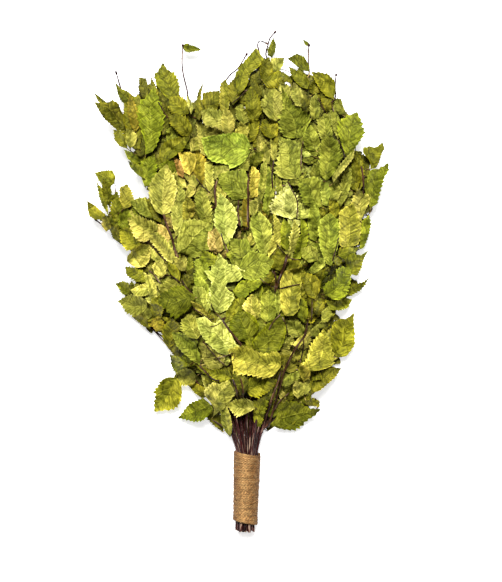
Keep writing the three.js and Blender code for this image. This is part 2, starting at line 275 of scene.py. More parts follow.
LEFT_LEAVES = [
    ("olive", [(97, 174), (104, 171), (112, 171), (115, 177), (114, 183), (108, 188), (103, 186),
        (99, 180)]),
    ("olive", [(98, 186), (103, 190), (107, 202), (108, 214), (103, 206), (99, 196)]),
    ("olive", [(104, 182), (110, 185), (112, 196), (110, 207), (105, 200), (102, 190)]),
    ("olive", [(112, 197), (117, 195), (121, 205), (121, 217), (115, 222), (111, 211)]),
    ("leaf_green", [(120, 212), (127, 210), (131, 218), (131, 230), (124, 233), (119, 224)]),
    ("dark", [(110, 228), (117, 226), (121, 234), (120, 243), (113, 238)]),
    ("moss", [(89, 203), (95, 206), (101, 211), (105, 215), (102, 219), (95, 219), (90, 216), (88, 209)]),
    ("golden", [(103, 218), (108, 219), (111, 228), (106, 231), (102, 226)]),
    ("golden", [(120, 188), (127, 187), (132, 193), (134, 200), (130, 206), (124, 208), (120, 200)]),
    ("grey_green", [(133, 203), (138, 199), (145, 198), (150, 204), (154, 212), (155, 218), (147, 217),
        (140, 213), (135, 208)]),
    ("brown_green", [(147, 200), (151, 202), (158, 212), (161, 222), (154, 219), (149, 209)]),
    ("leaf_green", [(160, 166), (168, 161), (175, 163), (176, 172), (168, 173), (162, 172)]),
    ("straw", [(172, 175), (180, 173), (184, 179), (186, 187), (179, 188), (174, 184)]),
    ("yellow_green", [(174, 193), (180, 190), (185, 195), (184, 205), (183, 218), (181, 230), (176, 234),
        (172, 222), (171, 208)]),
    ("golden", [(183, 203), (189, 199), (194, 205), (194, 214), (190, 220), (183, 219)]),
    ("grey_green", [(195, 197), (202, 192), (208, 198), (211, 209), (211, 222), (205, 224), (198, 214)]),
    ("rust", [(175, 160), (180, 161), (184, 170), (183, 177), (178, 174)]),
    ("straw", [(190, 140), (198, 138), (199, 150), (191, 151)]),
    ("straw", [(189, 177), (195, 176), (199, 182), (195, 187), (190, 185)]),
    ("ochre", [(197, 154), (203, 156), (206, 163), (205, 173), (202, 183), (197, 178), (194, 170)]),
    ("amber", [(180, 155), (187, 153), (194, 154), (196, 160), (194, 168), (190, 174), (185, 172),
        (182, 164)]),
    ("straw", [(160, 172), (166, 170), (170, 173), (174, 180), (176, 188), (174, 197), (172, 205),
        (169, 211), (163, 213), (157, 211), (153, 204), (150, 196), (150, 187), (153, 180)]),
]
MIDDLE_LEAVES = [
    ("straw", [(197, 124), (203, 125), (206, 133), (206, 145), (207, 155), (201, 152), (199, 140)]),
    ("straw", [(206, 128), (214, 127), (222, 131), (223, 137), (214, 138), (207, 139)]),
    ("yellow", [(236, 130), (241, 125), (249, 129), (247, 137), (250, 148), (246, 150), (243, 142),
        (239, 137), (234, 135)]),
    ("straw", [(262, 143), (267, 146), (270, 154), (269, 163), (264, 162), (260, 153)]),
    ("straw", [(271, 142), (276, 144), (277, 154), (274, 162), (271, 154)]),
    ("deep_green", [(250, 158), (257, 153), (263, 152), (262, 160), (256, 167), (250, 169)]),
    ("grey_green", [(239, 163), (246, 160), (249, 165), (247, 170), (240, 169)]),
    ("yellow_green", [(213, 166), (221, 165), (228, 167), (228, 174), (220, 175), (214, 180)]),
    ("yellow", [(205, 164), (212, 163), (213, 175), (213, 185), (209, 190), (206, 184), (205, 172)]),
    ("straw", [(217, 181), (222, 186), (226, 195), (223, 202), (218, 198), (217, 189)]),
    ("amber", [(252, 170), (258, 171), (260, 178), (260, 188), (257, 196), (251, 197), (250, 185)]),
    ("light_green", [(261, 166), (266, 164), (267, 176), (265, 190), (261, 200), (258, 190), (260, 178)]),
    ("green", [(268, 172), (273, 176), (274, 190), (272, 206), (268, 214), (263, 208), (266, 190)]),
    ("light_green", [(276, 172), (281, 176), (282, 190), (279, 200), (276, 190)]),
    ("ochre", [(243, 201), (249, 199), (250, 212), (248, 226), (243, 225), (242, 212)]),
    ("yellow_green", [(250, 202), (257, 201), (258, 209), (254, 216), (250, 214)]),
    ("light_green", [(281, 142), (290, 141), (298, 144), (300, 152), (301, 162), (301, 172), (297, 177),
        (289, 178), (281, 176), (276, 172), (277, 165), (279, 155), (280, 147)]),
    ("pale_green", [(303, 151), (309, 153), (312, 156), (304, 157)]),
    ("green", [(229, 172), (238, 171), (244, 170), (247, 178), (249, 188), (247, 197), (241, 198),
        (234, 199), (229, 195), (224, 190), (220, 183), (222, 177)]),
    ("pale_green", [(298, 205), (305, 204), (309, 208), (310, 217), (303, 218), (297, 218)]),
    ("green", [(301, 182), (308, 179), (315, 178), (320, 181), (321, 190), (320, 199), (320, 206),
        (312, 206), (305, 204), (302, 197), (300, 189)]),
    ("pale_green", [(221, 199), (229, 203), (233, 207), (236, 213), (237, 220), (235, 228), (231, 238),
        (226, 243), (220, 240), (216, 232), (215, 222), (216, 212), (217, 205)]),
    ("cream", [(287, 187), (291, 190), (296, 197), (297, 205), (297, 216), (291, 218), (284, 216),
        (278, 214), (273, 213), (271, 207), (274, 199), (280, 193), (284, 190)]),
    ("bright_green", [(207, 140), (214, 137), (226, 135), (236, 134), (244, 136), (248, 143), (249, 150),
        (246, 157), (241, 162), (235, 165), (230, 167), (228, 163), (222, 162), (214, 161), (209, 157),
        (206, 150)]),
]
RIGHT_LEAVES = [
    ("brown_green", [(357, 156), (362, 160), (364, 172), (363, 184), (359, 190), (357, 176)]),
    ("olive", [(364, 148), (370, 147), (376, 148), (381, 145), (384, 149), (381, 154), (379, 161),
        (376, 167), (371, 168), (370, 160), (364, 153)]),
    ("brown_green", [(354, 160), (359, 168), (360, 180), (357, 190), (352, 188), (350, 176)]),
    ("grey_green", [(346, 168), (351, 171), (351, 184), (347, 196), (341, 205), (337, 199), (341, 184)]),
    ("yellow_green", [(352, 153), (353, 158), (346, 167), (339, 175), (334, 181), (333, 176), (340, 165),
        (347, 157)]),
    ("grey_green", [(331, 186), (337, 184), (341, 192), (337, 200), (331, 199), (328, 192)]),
    ("leaf_green", [(370, 171), (378, 170), (386, 168), (388, 171), (384, 178), (381, 187), (379, 196),
        (377, 203), (371, 206), (367, 200), (366, 190), (368, 180)]),
    ("light_green", [(322, 184), (328, 184), (330, 193), (327, 205), (323, 204), (321, 194)]),
    ("green", [(322, 142), (330, 140), (337, 143), (340, 150), (340, 158), (337, 166), (333, 173),
        (327, 179), (322, 176), (320, 165), (320, 153)]),
    ("leaf_green", [(362, 222), (368, 219), (371, 225), (368, 236), (364, 247), (360, 248), (361, 234)]),
    ("moss", [(330, 202), (338, 203), (339, 212), (335, 219), (330, 217)]),
    ("green", [(310, 209), (317, 208), (320, 218), (319, 230), (316, 240), (310, 238), (308, 222)]),
    ("straw", [(354, 197), (358, 192), (364, 194), (370, 197), (368, 204), (364, 212), (361, 220),
        (358, 216), (354, 210), (352, 203)]),
    ("olive", [(340, 248), (349, 247), (357, 248), (353, 255), (345, 259), (339, 256)]),
    ("olive", [(346, 258), (353, 254), (360, 256), (366, 253), (363, 260), (361, 268), (357, 275),
        (350, 273), (347, 266)]),
    ("green", [(322, 220), (330, 219), (337, 221), (339, 228), (339, 238), (337, 248), (334, 257),
        (331, 264), (327, 263), (324, 256), (321, 247), (320, 236), (319, 227)]),
    ("golden", [(340, 213), (345, 209), (352, 208), (356, 211), (358, 218), (360, 224), (360, 232),
        (359, 240), (357, 244), (350, 245), (343, 246), (340, 243), (340, 233), (340, 222)]),
    ("light_green", [(309, 270), (316, 262), (323, 259), (325, 265), (318, 271), (312, 274)]),
    ("olive", [(342, 290), (350, 286), (357, 284), (363, 282), (366, 280), (364, 286), (359, 291),
        (352, 295), (345, 297)]),
    ("olive", [(326, 300), (335, 302), (343, 297), (349, 300), (347, 308), (339, 310), (331, 309)]),
    ("moss", [(315, 303), (320, 300), (326, 302), (323, 309), (319, 316), (315, 312)]),
    ("grey_green", [(322, 312), (328, 308), (332, 314), (328, 321), (322, 322)]),
    ("brown_green", [(302, 276), (308, 274), (315, 276), (320, 282), (319, 291), (315, 298), (309, 296),
        (305, 288)]),
    ("leaf_green", [(336, 271), (342, 268), (348, 271), (350, 279), (348, 288), (345, 295), (339, 299),
        (332, 298), (326, 294), (324, 287), (327, 283), (333, 280), (337, 277)]),
]
LOWER_LEFT_LEAVES = [
    ("moss", [(121, 232), (127, 228), (132, 231), (137, 240), (140, 244), (134, 248), (127, 250),
        (122, 243)]),
    ("tan", [(155, 226), (161, 225), (167, 229), (170, 237), (167, 241), (160, 236)]),
    ("straw", [(131, 220), (138, 217), (146, 219), (152, 222), (158, 226), (156, 232), (150, 238),
        (146, 241), (140, 240), (135, 236), (132, 229)]),
    ("straw", [(150, 248), (156, 252), (163, 260), (166, 268), (159, 264), (152, 258)]),
    ("straw", [(152, 236), (157, 233), (163, 237), (168, 243), (172, 250), (176, 257), (172, 262),
        (167, 260), (161, 253), (155, 246), (151, 241)]),
    ("yellow", [(128, 256), (134, 250), (141, 245), (147, 247), (150, 253), (148, 261), (144, 266),
        (137, 267), (131, 264), (128, 261)]),
    ("olive", [(128, 268), (135, 268), (143, 272), (150, 280), (143, 282), (134, 280), (127, 275)]),
    ("straw", [(154, 264), (160, 262), (164, 267), (166, 273), (161, 277), (156, 274), (153, 268)]),
    ("olive", [(169, 264), (175, 266), (180, 273), (179, 280), (173, 276), (169, 270)]),
    ("olive", [(117, 285), (123, 281), (128, 283), (131, 288), (129, 294), (123, 294)]),
    ("straw", [(133, 290), (139, 286), (147, 283), (151, 288), (149, 294), (141, 296), (135, 295)]),
    ("yellow_green", [(145, 276), (151, 277), (156, 286), (157, 298), (153, 302), (149, 292)]),
    ("grey_green", [(124, 298), (131, 295), (139, 297), (146, 301), (146, 307), (141, 313), (134, 316),
        (127, 312), (123, 306), (121, 302)]),
    ("moss", [(152, 300), (159, 298), (163, 307), (161, 317), (154, 318), (151, 309)]),
    ("brown_green", [(134, 318), (141, 315), (147, 320), (149, 328), (142, 325)]),
    ("ochre", [(152, 322), (158, 318), (163, 322), (162, 330), (156, 331)]),
    ("grey_green", [(161, 286), (167, 281), (174, 280), (180, 285), (176, 289), (168, 293), (162, 292)]),
    ("dark", [(184, 281), (190, 284), (193, 291), (190, 295), (185, 289)]),
    ("green", [(195, 262), (202, 259), (208, 266), (209, 276), (203, 281), (196, 274)]),
    ("green", [(195, 276), (202, 278), (208, 286), (209, 298), (203, 297), (196, 288)]),
    ("light_green", [(195, 290), (203, 288), (208, 296), (210, 305), (207, 312), (200, 311), (194, 304)]),
    ("deep_green", [(162, 295), (168, 291), (176, 288), (184, 287), (190, 292), (194, 298), (192, 303),
        (188, 309), (181, 314), (176, 318), (170, 313), (166, 308), (162, 302)]),
    ("light_green", [(183, 222), (192, 220), (201, 222), (208, 228), (210, 238), (208, 248), (202, 254),
        (194, 257), (186, 253), (179, 252), (178, 240), (180, 230)]),
]
LOWER_MIDDLE_LEAVES = [
    ("tan", [(209, 233), (216, 231), (221, 238), (223, 248), (218, 253), (211, 252), (208, 243)]),
    ("leaf_green", [(204, 252), (212, 254), (219, 259), (217, 267), (209, 265), (203, 259)]),
    ("green", [(232, 240), (239, 240), (248, 241), (250, 249), (246, 256), (238, 258), (231, 252)]),
    ("light_green", [(252, 218), (259, 216), (266, 219), (271, 226), (271, 240), (269, 250), (264, 257),
        (258, 248), (254, 236), (251, 226)]),
    ("yellow", [(273, 218), (279, 222), (283, 230), (280, 241), (274, 250), (268, 257), (270, 245),
        (274, 232)]),
    ("leaf_green", [(284, 222), (290, 226), (291, 238), (287, 250), (281, 244), (281, 232)]),
    ("yellow_green", [(294, 224), (299, 229), (299, 240), (294, 250), (290, 254), (290, 238)]),
    ("leaf_green", [(300, 222), (306, 224), (308, 236), (306, 248), (300, 258), (293, 258), (297, 244),
        (301, 234)]),
    ("brown_green", [(280, 250), (286, 255), (285, 265), (280, 270), (273, 268), (273, 259)]),
    ("olive", [(290, 260), (298, 261), (302, 266), (297, 269), (290, 270)]),
    ("grey_green", [(303, 250), (311, 246), (317, 250), (317, 260), (309, 262), (303, 257)]),
    ("green", [(244, 258), (252, 251), (262, 254), (270, 262), (269, 270), (262, 279), (252, 280),
        (244, 277), (240, 268)]),
    ("leaf_green", [(242, 281), (252, 281), (260, 282), (257, 288), (250, 292), (244, 298), (238, 297),
        (234, 291), (238, 285)]),
    ("golden", [(193, 303), (200, 305), (207, 312), (213, 318), (206, 318), (198, 312)]),
    ("olive", [(227, 308), (233, 303), (236, 310), (232, 319), (226, 322)]),
    ("olive", [(236, 300), (243, 299), (246, 304), (242, 310), (238, 318), (234, 310)]),
    ("green", [(262, 296), (269, 293), (275, 298), (277, 308), (274, 318), (266, 321), (261, 316),
        (261, 306)]),
    ("light_green", [(277, 292), (281, 298), (282, 308), (278, 314), (275, 304)]),
    ("deep_green", [(300, 300), (306, 302), (308, 314), (304, 322), (298, 316), (297, 308)]),
    ("pale_green", [(219, 260), (225, 262), (229, 267), (236, 268), (242, 271), (241, 277), (238, 281),
        (231, 284), (226, 283), (226, 290), (232, 291), (233, 297), (230, 303), (226, 309), (220, 311),
        (213, 309), (209, 304), (208, 299), (211, 295), (210, 288), (213, 283), (209, 278), (207, 273),
        (212, 270), (216, 265)]),
    ("yellow", [(252, 297), (256, 298), (259, 302), (260, 309), (258, 317), (255, 319), (251, 314),
        (246, 311), (243, 308), (245, 303), (248, 299)]),
    ("golden", [(283, 275), (288, 271), (296, 270), (300, 270), (300, 277), (301, 284), (300, 290),
        (300, 297), (298, 303), (300, 305), (297, 310), (292, 315), (286, 314), (282, 308), (281, 300),
        (281, 292), (281, 285), (281, 279)]),
]
BOTTOM_LEAVES = [
    ("dark", [(206, 404), (214, 408), (221, 415), (224, 424), (222, 431), (215, 426), (208, 419),
        (203, 411)]),
    ("deep_green", [(172, 356), (178, 357), (184, 362), (189, 365), (183, 370), (176, 372), (172, 366)]),
    ("grey_green", [(177, 373), (184, 369), (191, 370), (196, 376), (194, 383), (188, 385), (180, 385),
        (175, 380)]),
    ("moss", [(190, 386), (197, 384), (204, 388), (207, 396), (202, 398), (195, 393)]),
    ("moss", [(160, 383), (165, 379), (170, 378), (176, 379), (180, 384), (181, 392), (180, 400),
        (177, 406), (171, 409), (164, 409), (157, 408), (155, 404), (156, 397), (155, 392), (158, 387)]),
    ("moss", [(165, 325), (172, 322), (178, 325), (178, 334), (174, 343), (169, 348), (164, 341),
        (162, 332)]),
    ("grey_green", [(182, 322), (188, 317), (195, 318), (200, 325), (201, 333), (197, 338), (189, 337),
        (183, 331)]),
    ("green", [(175, 336), (182, 334), (190, 340), (196, 346), (199, 355), (199, 364), (191, 359),
        (183, 352), (177, 345)]),
    ("deep_green", [(190, 404), (197, 401), (203, 399), (209, 404), (212, 409), (208, 415), (202, 420),
        (194, 421), (187, 419), (182, 417)]),
    ("yellow_green", [(203, 345), (210, 348), (218, 353), (224, 358), (222, 366), (215, 370), (207, 367),
        (203, 358)]),
    ("olive", [(211, 371), (220, 370), (229, 371), (231, 378), (222, 382), (213, 380)]),
    ("pale_green", [(201, 322), (207, 318), (214, 325), (222, 321), (227, 329), (231, 336), (234, 343),
        (238, 346), (234, 350), (226, 354), (219, 352), (213, 347), (207, 342), (203, 336), (200, 330)]),
    ("grey_green", [(286, 322), (294, 322), (303, 326), (304, 334), (296, 337), (288, 333)]),
    ("deep_green", [(240, 314), (247, 313), (254, 318), (258, 325), (256, 333), (251, 340), (244, 341),
        (236, 338), (231, 331), (230, 324), (234, 318)]),
    ("olive", [(246, 342), (253, 338), (257, 345), (256, 351), (249, 349)]),
    ("deep_green", [(280, 317), (284, 322), (285, 332), (283, 341), (279, 349), (274, 352), (268, 353),
        (262, 352), (256, 349), (253, 342), (259, 334), (266, 327), (272, 322)]),
    ("straw", [(283, 348), (288, 341), (292, 336), (293, 343), (289, 349)]),
    ("yellow", [(293, 345), (299, 338), (303, 336), (302, 343), (298, 349)]),
    ("moss", [(333, 325), (338, 321), (346, 320), (352, 318), (353, 325), (354, 334), (354, 344),
        (350, 350), (346, 355), (338, 356), (332, 351), (331, 342), (332, 333)]),
    ("brown_green", [(310, 383), (318, 376), (325, 370), (333, 368), (338, 371), (334, 378), (327, 384),
        (320, 390), (313, 392)]),
    ("olive", [(311, 371), (319, 370), (321, 378), (313, 380)]),
    ("golden", [(322, 334), (327, 337), (329, 343), (331, 351), (334, 357), (332, 364), (327, 367),
        (320, 369), (312, 370), (306, 369), (303, 364), (308, 358), (310, 351), (312, 344), (317, 338)]),
    ("golden", [(301, 365), (306, 367), (310, 372), (309, 378), (304, 381), (301, 376), (299, 370)]),
    ("grey_green", [(284, 380), (291, 374), (298, 372), (298, 379), (291, 384), (285, 386)]),
    ("olive", [(286, 392), (293, 386), (297, 392), (293, 399), (287, 400)]),
    ("moss", [(306, 400), (313, 398), (319, 401), (318, 406), (311, 406), (306, 404)]),
    ("straw", [(296, 383), (302, 384), (305, 389), (303, 395), (298, 398), (294, 394), (293, 388)]),
    ("olive", [(248, 380), (256, 377), (266, 378), (274, 381), (272, 388), (265, 393), (258, 397),
        (250, 395), (246, 388)]),
    ("dark", [(240, 377), (247, 378), (248, 388), (244, 394), (241, 386)]),
    ("golden", [(234, 352), (238, 348), (244, 347), (250, 349), (256, 352), (262, 354), (268, 354),
        (274, 352), (278, 354), (280, 360), (279, 366), (276, 371), (272, 375), (265, 377), (258, 376),
        (250, 374), (243, 374), (236, 373), (234, 367), (235, 360)]),
    ("deep_green", [(278, 408), (286, 403), (294, 402), (302, 405), (308, 409), (315, 411), (313, 416),
        (306, 420), (301, 426), (294, 429), (286, 429), (278, 427), (272, 424), (278, 417)]),
    ("olive", [(254, 402), (262, 399), (268, 397), (267, 406), (264, 415), (261, 425), (257, 430),
        (254, 418)]),
    ("yellow_green", [(208, 388), (212, 384), (220, 385), (227, 384), (231, 388), (235, 393), (231, 398),
        (228, 403), (224, 408), (218, 411), (213, 416), (215, 408), (211, 402), (206, 396), (205, 391)]),
    ("grey_green", [(221, 412), (227, 410), (230, 416), (232, 427), (230, 436), (226, 432), (222, 424)]),
    ("yellow_green", [(232, 402), (238, 400), (246, 399), (252, 402), (254, 408), (250, 411), (243, 414),
        (238, 416), (233, 412), (230, 406)]),
]
SHOWN_LEAVES = [
    *TOP_LEFT_LEAVES,
    *TOP_MIDDLE_LEAVES,
    *TOP_RIGHT_LEAVES,
    *LEFT_LEAVES,
    *MIDDLE_LEAVES,
    *RIGHT_LEAVES,
    *LOWER_LEFT_LEAVES,
    *LOWER_MIDDLE_LEAVES,
    *BOTTOM_LEAVES,
]
SHOWN_CENTRES = np.array([np.mean(outline, axis=0) for _, outline in SHOWN_LEAVES])

# Leaves that lie on the table under the stems, in photo pixels.
UNDER_STEM_LEAVES = [
    [(222, 412), (232, 408), (237, 424), (238, 440), (231, 434)],
    [(230, 404), (238, 402), (243, 414), (243, 430), (238, 438), (233, 426)],
    [(240, 404), (250, 402), (253, 416), (250, 434), (246, 440), (242, 424)],
    [(250, 404), (262, 404), (264, 416), (258, 434), (253, 438), (250, 420)],
    [(258, 410), (268, 406), (268, 420), (262, 434), (257, 440), (256, 424)],
    [(262, 408), (272, 402), (282, 408), (278, 424), (268, 431), (262, 424)],
    [(270, 396), (280, 392), (288, 400), (284, 412), (274, 414)],
    [(226, 390), (238, 385), (248, 388), (250, 402), (240, 411), (229, 408)],
    [(244, 388), (256, 384), (268, 389), (269, 402), (258, 411), (246, 406)],
]

# Twigs whose tips stand out past the leaves, from the thick end, in photo pixels.
TIP_TWIGS = [
    [(192, 110), (187, 88), (183, 72), (182, 62), (183, 47)],
    [(222, 90), (230, 75), (238, 68), (246, 55)],
    [(266, 56), (268, 45), (270, 38), (274, 33)],
    [(262, 60), (259, 50), (258, 45), (260, 41), (266, 43)],
    [(309, 95), (309, 70), (308, 60), (309, 46)],
    [(335, 98), (335, 88), (336, 76)],
    [(124, 96), (120, 84), (117, 74)],
    [(112, 226), (103, 225), (97, 221)],
    [(137, 256), (130, 249), (116, 234), (105, 225)],
    [(169, 340), (160, 335), (145, 322), (137, 314)],
    [(312, 413), (319, 405), (316, 400)],
]
# Small leaves at the ends of such twigs: the twig's end, and the leaf's own, in photo pixels.
TIP_LEAF_ENDS = {(183, 47): (201, 50), (309, 46): (303, 40)}
# Thin twigs that lie on the leaves: radius in millimetres, and places in photo pixels.
CROSSING_TWIGS = [
    (1.4, [(248, 228), (248, 200), (248, 172)]),
    (0.7, [(297, 219), (297, 200), (291, 188), (288, 181)]),
    (0.8, [(301, 172), (301, 156), (303, 140)]),
    (1.5, [(216, 206), (215, 190), (217, 180)]),
    (1.2, [(240, 228), (238, 212), (239, 200)]),
    (1.0, [(273, 190), (272, 175), (274, 160)]),
    (0.6, [(196, 178), (203, 186), (210, 192)]),
    (0.6, [(191, 307), (199, 312), (206, 317), (212, 322)]),
    (0.6, [(210, 303), (214, 311), (222, 320)]),
    (1.3, [(222, 320), (228, 329), (234, 336), (241, 345)]),
    (0.5, [(210, 327), (217, 325), (223, 321)]),
    (0.6, [(259, 277), (266, 283), (273, 287), (278, 289)]),
    (0.7, [(279, 289), (290, 286), (301, 284)]),
    (1.7, [(287, 255), (284, 267), (279, 280), (276, 290)]),
    (1.1, [(274, 270), (276, 280), (275, 290)]),
    (0.6, [(276, 243), (283, 252), (290, 258), (298, 260)]),
    (0.8, [(228, 252), (224, 242), (221, 232)]),
    (0.7, [(268, 331), (273, 322), (281, 314)]),
    (0.6, [(282, 316), (286, 325), (288, 336)]),
    (0.6, [(203, 341), (212, 352), (221, 362), (227, 367)]),
    (0.5, [(213, 359), (225, 356), (234, 353)]),
    (0.5, [(234, 354), (235, 358), (228, 364)]),
    (0.9, [(199, 365), (206, 372), (213, 379), (220, 381)]),
    (1.4, [(262, 428), (270, 404), (277, 384), (281, 370)]),
    (1.2, [(268, 427), (274, 408), (279, 390), (284, 372), (291, 356)]),
    (0.8, [(272, 414), (279, 402), (290, 392)]),
    (1.2, [(284, 372), (289, 360), (296, 347), (304, 336), (308, 320)]),
    (0.7, [(300, 362), (303, 350), (304, 340)]),
    (0.6, [(292, 345), (297, 349), (301, 352)]),
    (1.3, [(238, 398), (236, 388), (233, 380)]),
    (1.0, [(243, 396), (242, 386), (240, 378)]),
    (0.7, [(311, 322), (312, 310), (312, 298)]),
    (0.8, [(332, 262), (336, 250), (339, 238)]),
    (0.7, [(345, 158), (343, 150), (338, 140)]),
    (1.2, [(363, 196), (363, 180), (361, 165)]),
    (1.5, [(176, 256), (172, 240), (167, 228), (163, 214)]),
    (0.6, [(167, 262), (159, 254), (151, 245), (146, 241)]),
    (0.8, [(160, 283), (155, 276), (149, 270)]),
    (0.6, [(160, 279), (167, 275), (174, 277), (180, 283)]),
    (0.8, [(192, 293), (186, 287), (181, 279)]),
    (0.8, [(168, 118), (163, 110), (158, 101)]),
    (0.7, [(247, 90), (240, 97), (232, 103)]),
    (0.6, [(325, 113), (321, 104), (317, 97)]),
    (0.7, [(334, 112), (332, 104), (335, 98)]),
]

# The edge of the leaf mass, clockwise from the handle, in photo pixels. No hidden leaf stands out past it.
LEAF_MASS_EDGE = [
    (232, 402), (226, 424), (216, 414), (188, 413), (202, 396), (192, 388), (176, 374), (172, 354),
    (135, 320), (123, 306), (123, 287), (134, 274), (129, 256), (107, 231), (93, 212), (106, 206),
    (101, 181), (116, 192), (147, 197), (146, 186), (140, 174), (131, 156), (121, 136), (107, 113),
    (122, 113), (131, 102), (136, 86), (146, 81), (158, 79), (174, 81), (186, 100), (204, 97), (222, 91),
    (238, 80), (242, 72), (260, 57), (274, 48), (286, 80), (298, 60), (309, 72), (325, 79), (338, 99),
    (347, 112), (356, 119), (361, 126), (355, 147), (381, 151), (371, 170), (385, 173), (375, 206),
    (365, 218), (369, 230), (358, 262), (350, 274), (360, 283), (344, 299), (338, 314), (351, 321),
    (352, 348), (336, 370), (314, 398), (299, 427), (270, 428), (262, 406), (246, 398),
]


# Curves

def linear(tone):
    """A tone's sRGB numbers as the linear colour that a surface needs to look like it in this light."""
    share = np.array(tone) / 255
    seen = np.where(share < 0.04045, share / 12.92, ((share + 0.055) / 1.055) ** 2.4)
    return np.maximum(seen - SHEEN, 0.002) / LIGHT_GAIN


def any_angle():
    return rng.uniform(0, WHOLE_TURN)


def unit(vector):
    return vector / np.linalg.norm(vector)


def even_line(points, count):
    """Points at equal steps along a line of points."""
    travelled = travelled_along(points)
    wanted = np.linspace(0, travelled[-1], count)
    return np.stack([np.interp(wanted, travelled, points[:, axis]) for axis in range(3)], axis=1)


def line_length(line):
    return np.linalg.norm(np.diff(line, axis=0), axis=1).sum()


def even_run(line):
    """How far along a line of equal steps each of its points is."""
    return np.linspace(0, line_length(line), len(line))


def travelled_along(line):
    """How far along a line each of its points is."""
    return np.concatenate([[0], np.cumsum(np.linalg.norm(np.diff(line, axis=0), axis=1))])


def smooth_line(points, count=120):
    """A centripetal Catmull-Rom curve through the points, as points at equal steps."""
    points = np.array(points, float)
    guides = np.vstack([2 * points[0] - points[1], points, 2 * points[-1] - points[-2]])
    t = np.linspace(0, 1, 24, endpoint=False)[:, None]
    stretches = []
    for before, start, end, after in zip(guides, guides[1:], guides[2:], guides[3:]):
        first = np.linalg.norm(start - before) ** 0.5
        middle = np.linalg.norm(end - start) ** 0.5
        last = np.linalg.norm(after - end) ** 0.5
        leave = (start - before) / first - (end - before) / (first + middle) + (end - start) / middle
        arrive = (end - start) / middle - (after - start) / (middle + last) + (after - end) / last
        stretches.append(hermite(start, end, leave * middle, arrive * middle, t))
    return even_line(np.vstack([*stretches, points[-1]]), count)


def hermite(start, end, leave, arrive, t):
    bend = -3 * start + 3 * end - 2 * leave - arrive
    return start + leave * t + bend * t ** 2 + (2 * start - 2 * end + leave + arrive) * t ** 3


def tangents(line):
    ahead = np.gradient(line, axis=0)
    return ahead / np.linalg.norm(ahead, axis=1)[:, None]


def stretch_of(line, start, end, count):
    """Part of a line between two shares of its length."""
    shares = np.linspace(start, end, count) * (len(line) - 1)
    return np.stack([np.interp(shares, np.arange(len(line)), line[:, axis]) for axis in range(3)], axis=1)


# Places of the handle and the stems

def pitch_at(y):
    places = [BUTT_Y, WINDING_BOTTOM_Y, WINDING_TOP_Y]
    return np.interp(y, places, [PITCH_AT_BUTT, PITCH_AT_WAIST, PITCH_AT_TOP])


def winding_radius(y):
    return 2 * pitch_at(y) + STEM_BUTT_RADIUS + WINDING_SLACK + TWINE_RADIUS


def handle_axis(y):
    x = np.interp(y, [BUTT_Y, WINDING_TOP_Y], [AXIS_X_AT_BUTT, AXIS_X_AT_TOP])
    height = winding_radius(y) / math.cos(math.pi / TWINE_STEPS_PER_TURN) + TWINE_RADIUS
    return np.array([x, y, height])


def stem_slot(row, column, y):
    middle = (len(LAYERS[row][1]) - 1) / 2
    aside = np.array([column - middle, 0, (row - MIDDLE_ROW) * ROW_RISE])
    return handle_axis(y) + aside * pitch_at(y)


def layer_height(row, degrees):
    return LAYERS[row][0] * (1 - FAN_CROWN * min(1, (degrees / FAN_EDGE) ** 2))


def fan_place(start, degrees, reach, height):
    angle = math.radians(degrees)
    return np.array([start[0] + reach * math.sin(angle), start[1] + reach * math.cos(angle), height])


def stem_route(row, column):
    """A stem's whole line, from its butt through the winding to its tip."""
    degrees, reach = LAYERS[row][1][column]
    start = stem_slot(row, column, WINDING_TOP_Y)
    halfway = (WINDING_BOTTOM_Y + WINDING_TOP_Y) / 2
    points = [stem_slot(row, column, y) for y in (BUTT_Y, WINDING_BOTTOM_Y, halfway, WINDING_TOP_Y)]
    for share in (0.05, 0.12, 0.3, 0.5, 0.75, 1):
        ease = min(share / 0.6, 1)
        ease = ease * ease * (3 - 2 * ease)
        height = start[2] + ease * (layer_height(row, degrees) - start[2])
        points.append(fan_place(start, degrees * share ** 0.25, reach * share, height))
    return under_leaves(smooth_line(np.array(points) + SOURCE_ZERO, 240))


def route_share(route, reach_share):
    handle = (WINDING_TOP_Y - BUTT_Y) / line_length(route)
    return handle + (1 - handle) * reach_share


def side_twig(route, reach_share, side, tip):
    """A twig that leaves a stem's side and bends out to a tip of its own. It starts inside the stem."""
    share = route_share(route, reach_share)
    heart, ahead = stretch_of(route, share, min(share + 0.01, 1), 2)
    along = unit(ahead - heart)
    across = unit(np.cross(along, UP))
    root = heart + across * side * 2 * STEM_FORK_RADIUS
    tip = tip + SOURCE_ZERO
    middle = (root + tip) / 2 + along * 0.06 * np.linalg.norm(tip - root)
    return under_leaves(smooth_line([heart - 6 * along, root, middle, tip]))


def under_leaves(line):
    """The line, lowered where it would lie above the leaves of the fan."""
    line = line.copy()
    past_handle = np.clip((line[:, 1] - WINDING_TOP_Y - 20) / 40, 0, 1)
    over = line[:, 2] - (mound_height(line[:, 0], line[:, 1]) - TWIG_COVER)
    line[:, 2] -= np.maximum(0, over) * past_handle
    return line


# Places in the photo

def photo_place(across, down, height):
    pixel = PIXEL * (CAMERA_RISE + MIDDLE_HEIGHT - height) / CAMERA_RISE
    x = CAMERA_X + (across - PHOTO_ACROSS / 2) * pixel
    y = CAMERA_Y + (PHOTO_DOWN / 2 - down) * pixel
    return np.stack(np.broadcast_arrays(x, y, height), axis=-1).astype(float)


def photo_pixel(points):
    pixel = PIXEL * (CAMERA_RISE + MIDDLE_HEIGHT - points[..., 2]) / CAMERA_RISE
    across = PHOTO_ACROSS / 2 + (points[..., 0] - CAMERA_X) / pixel
    down = PHOTO_DOWN / 2 - (points[..., 1] - CAMERA_Y) / pixel
    return across, down


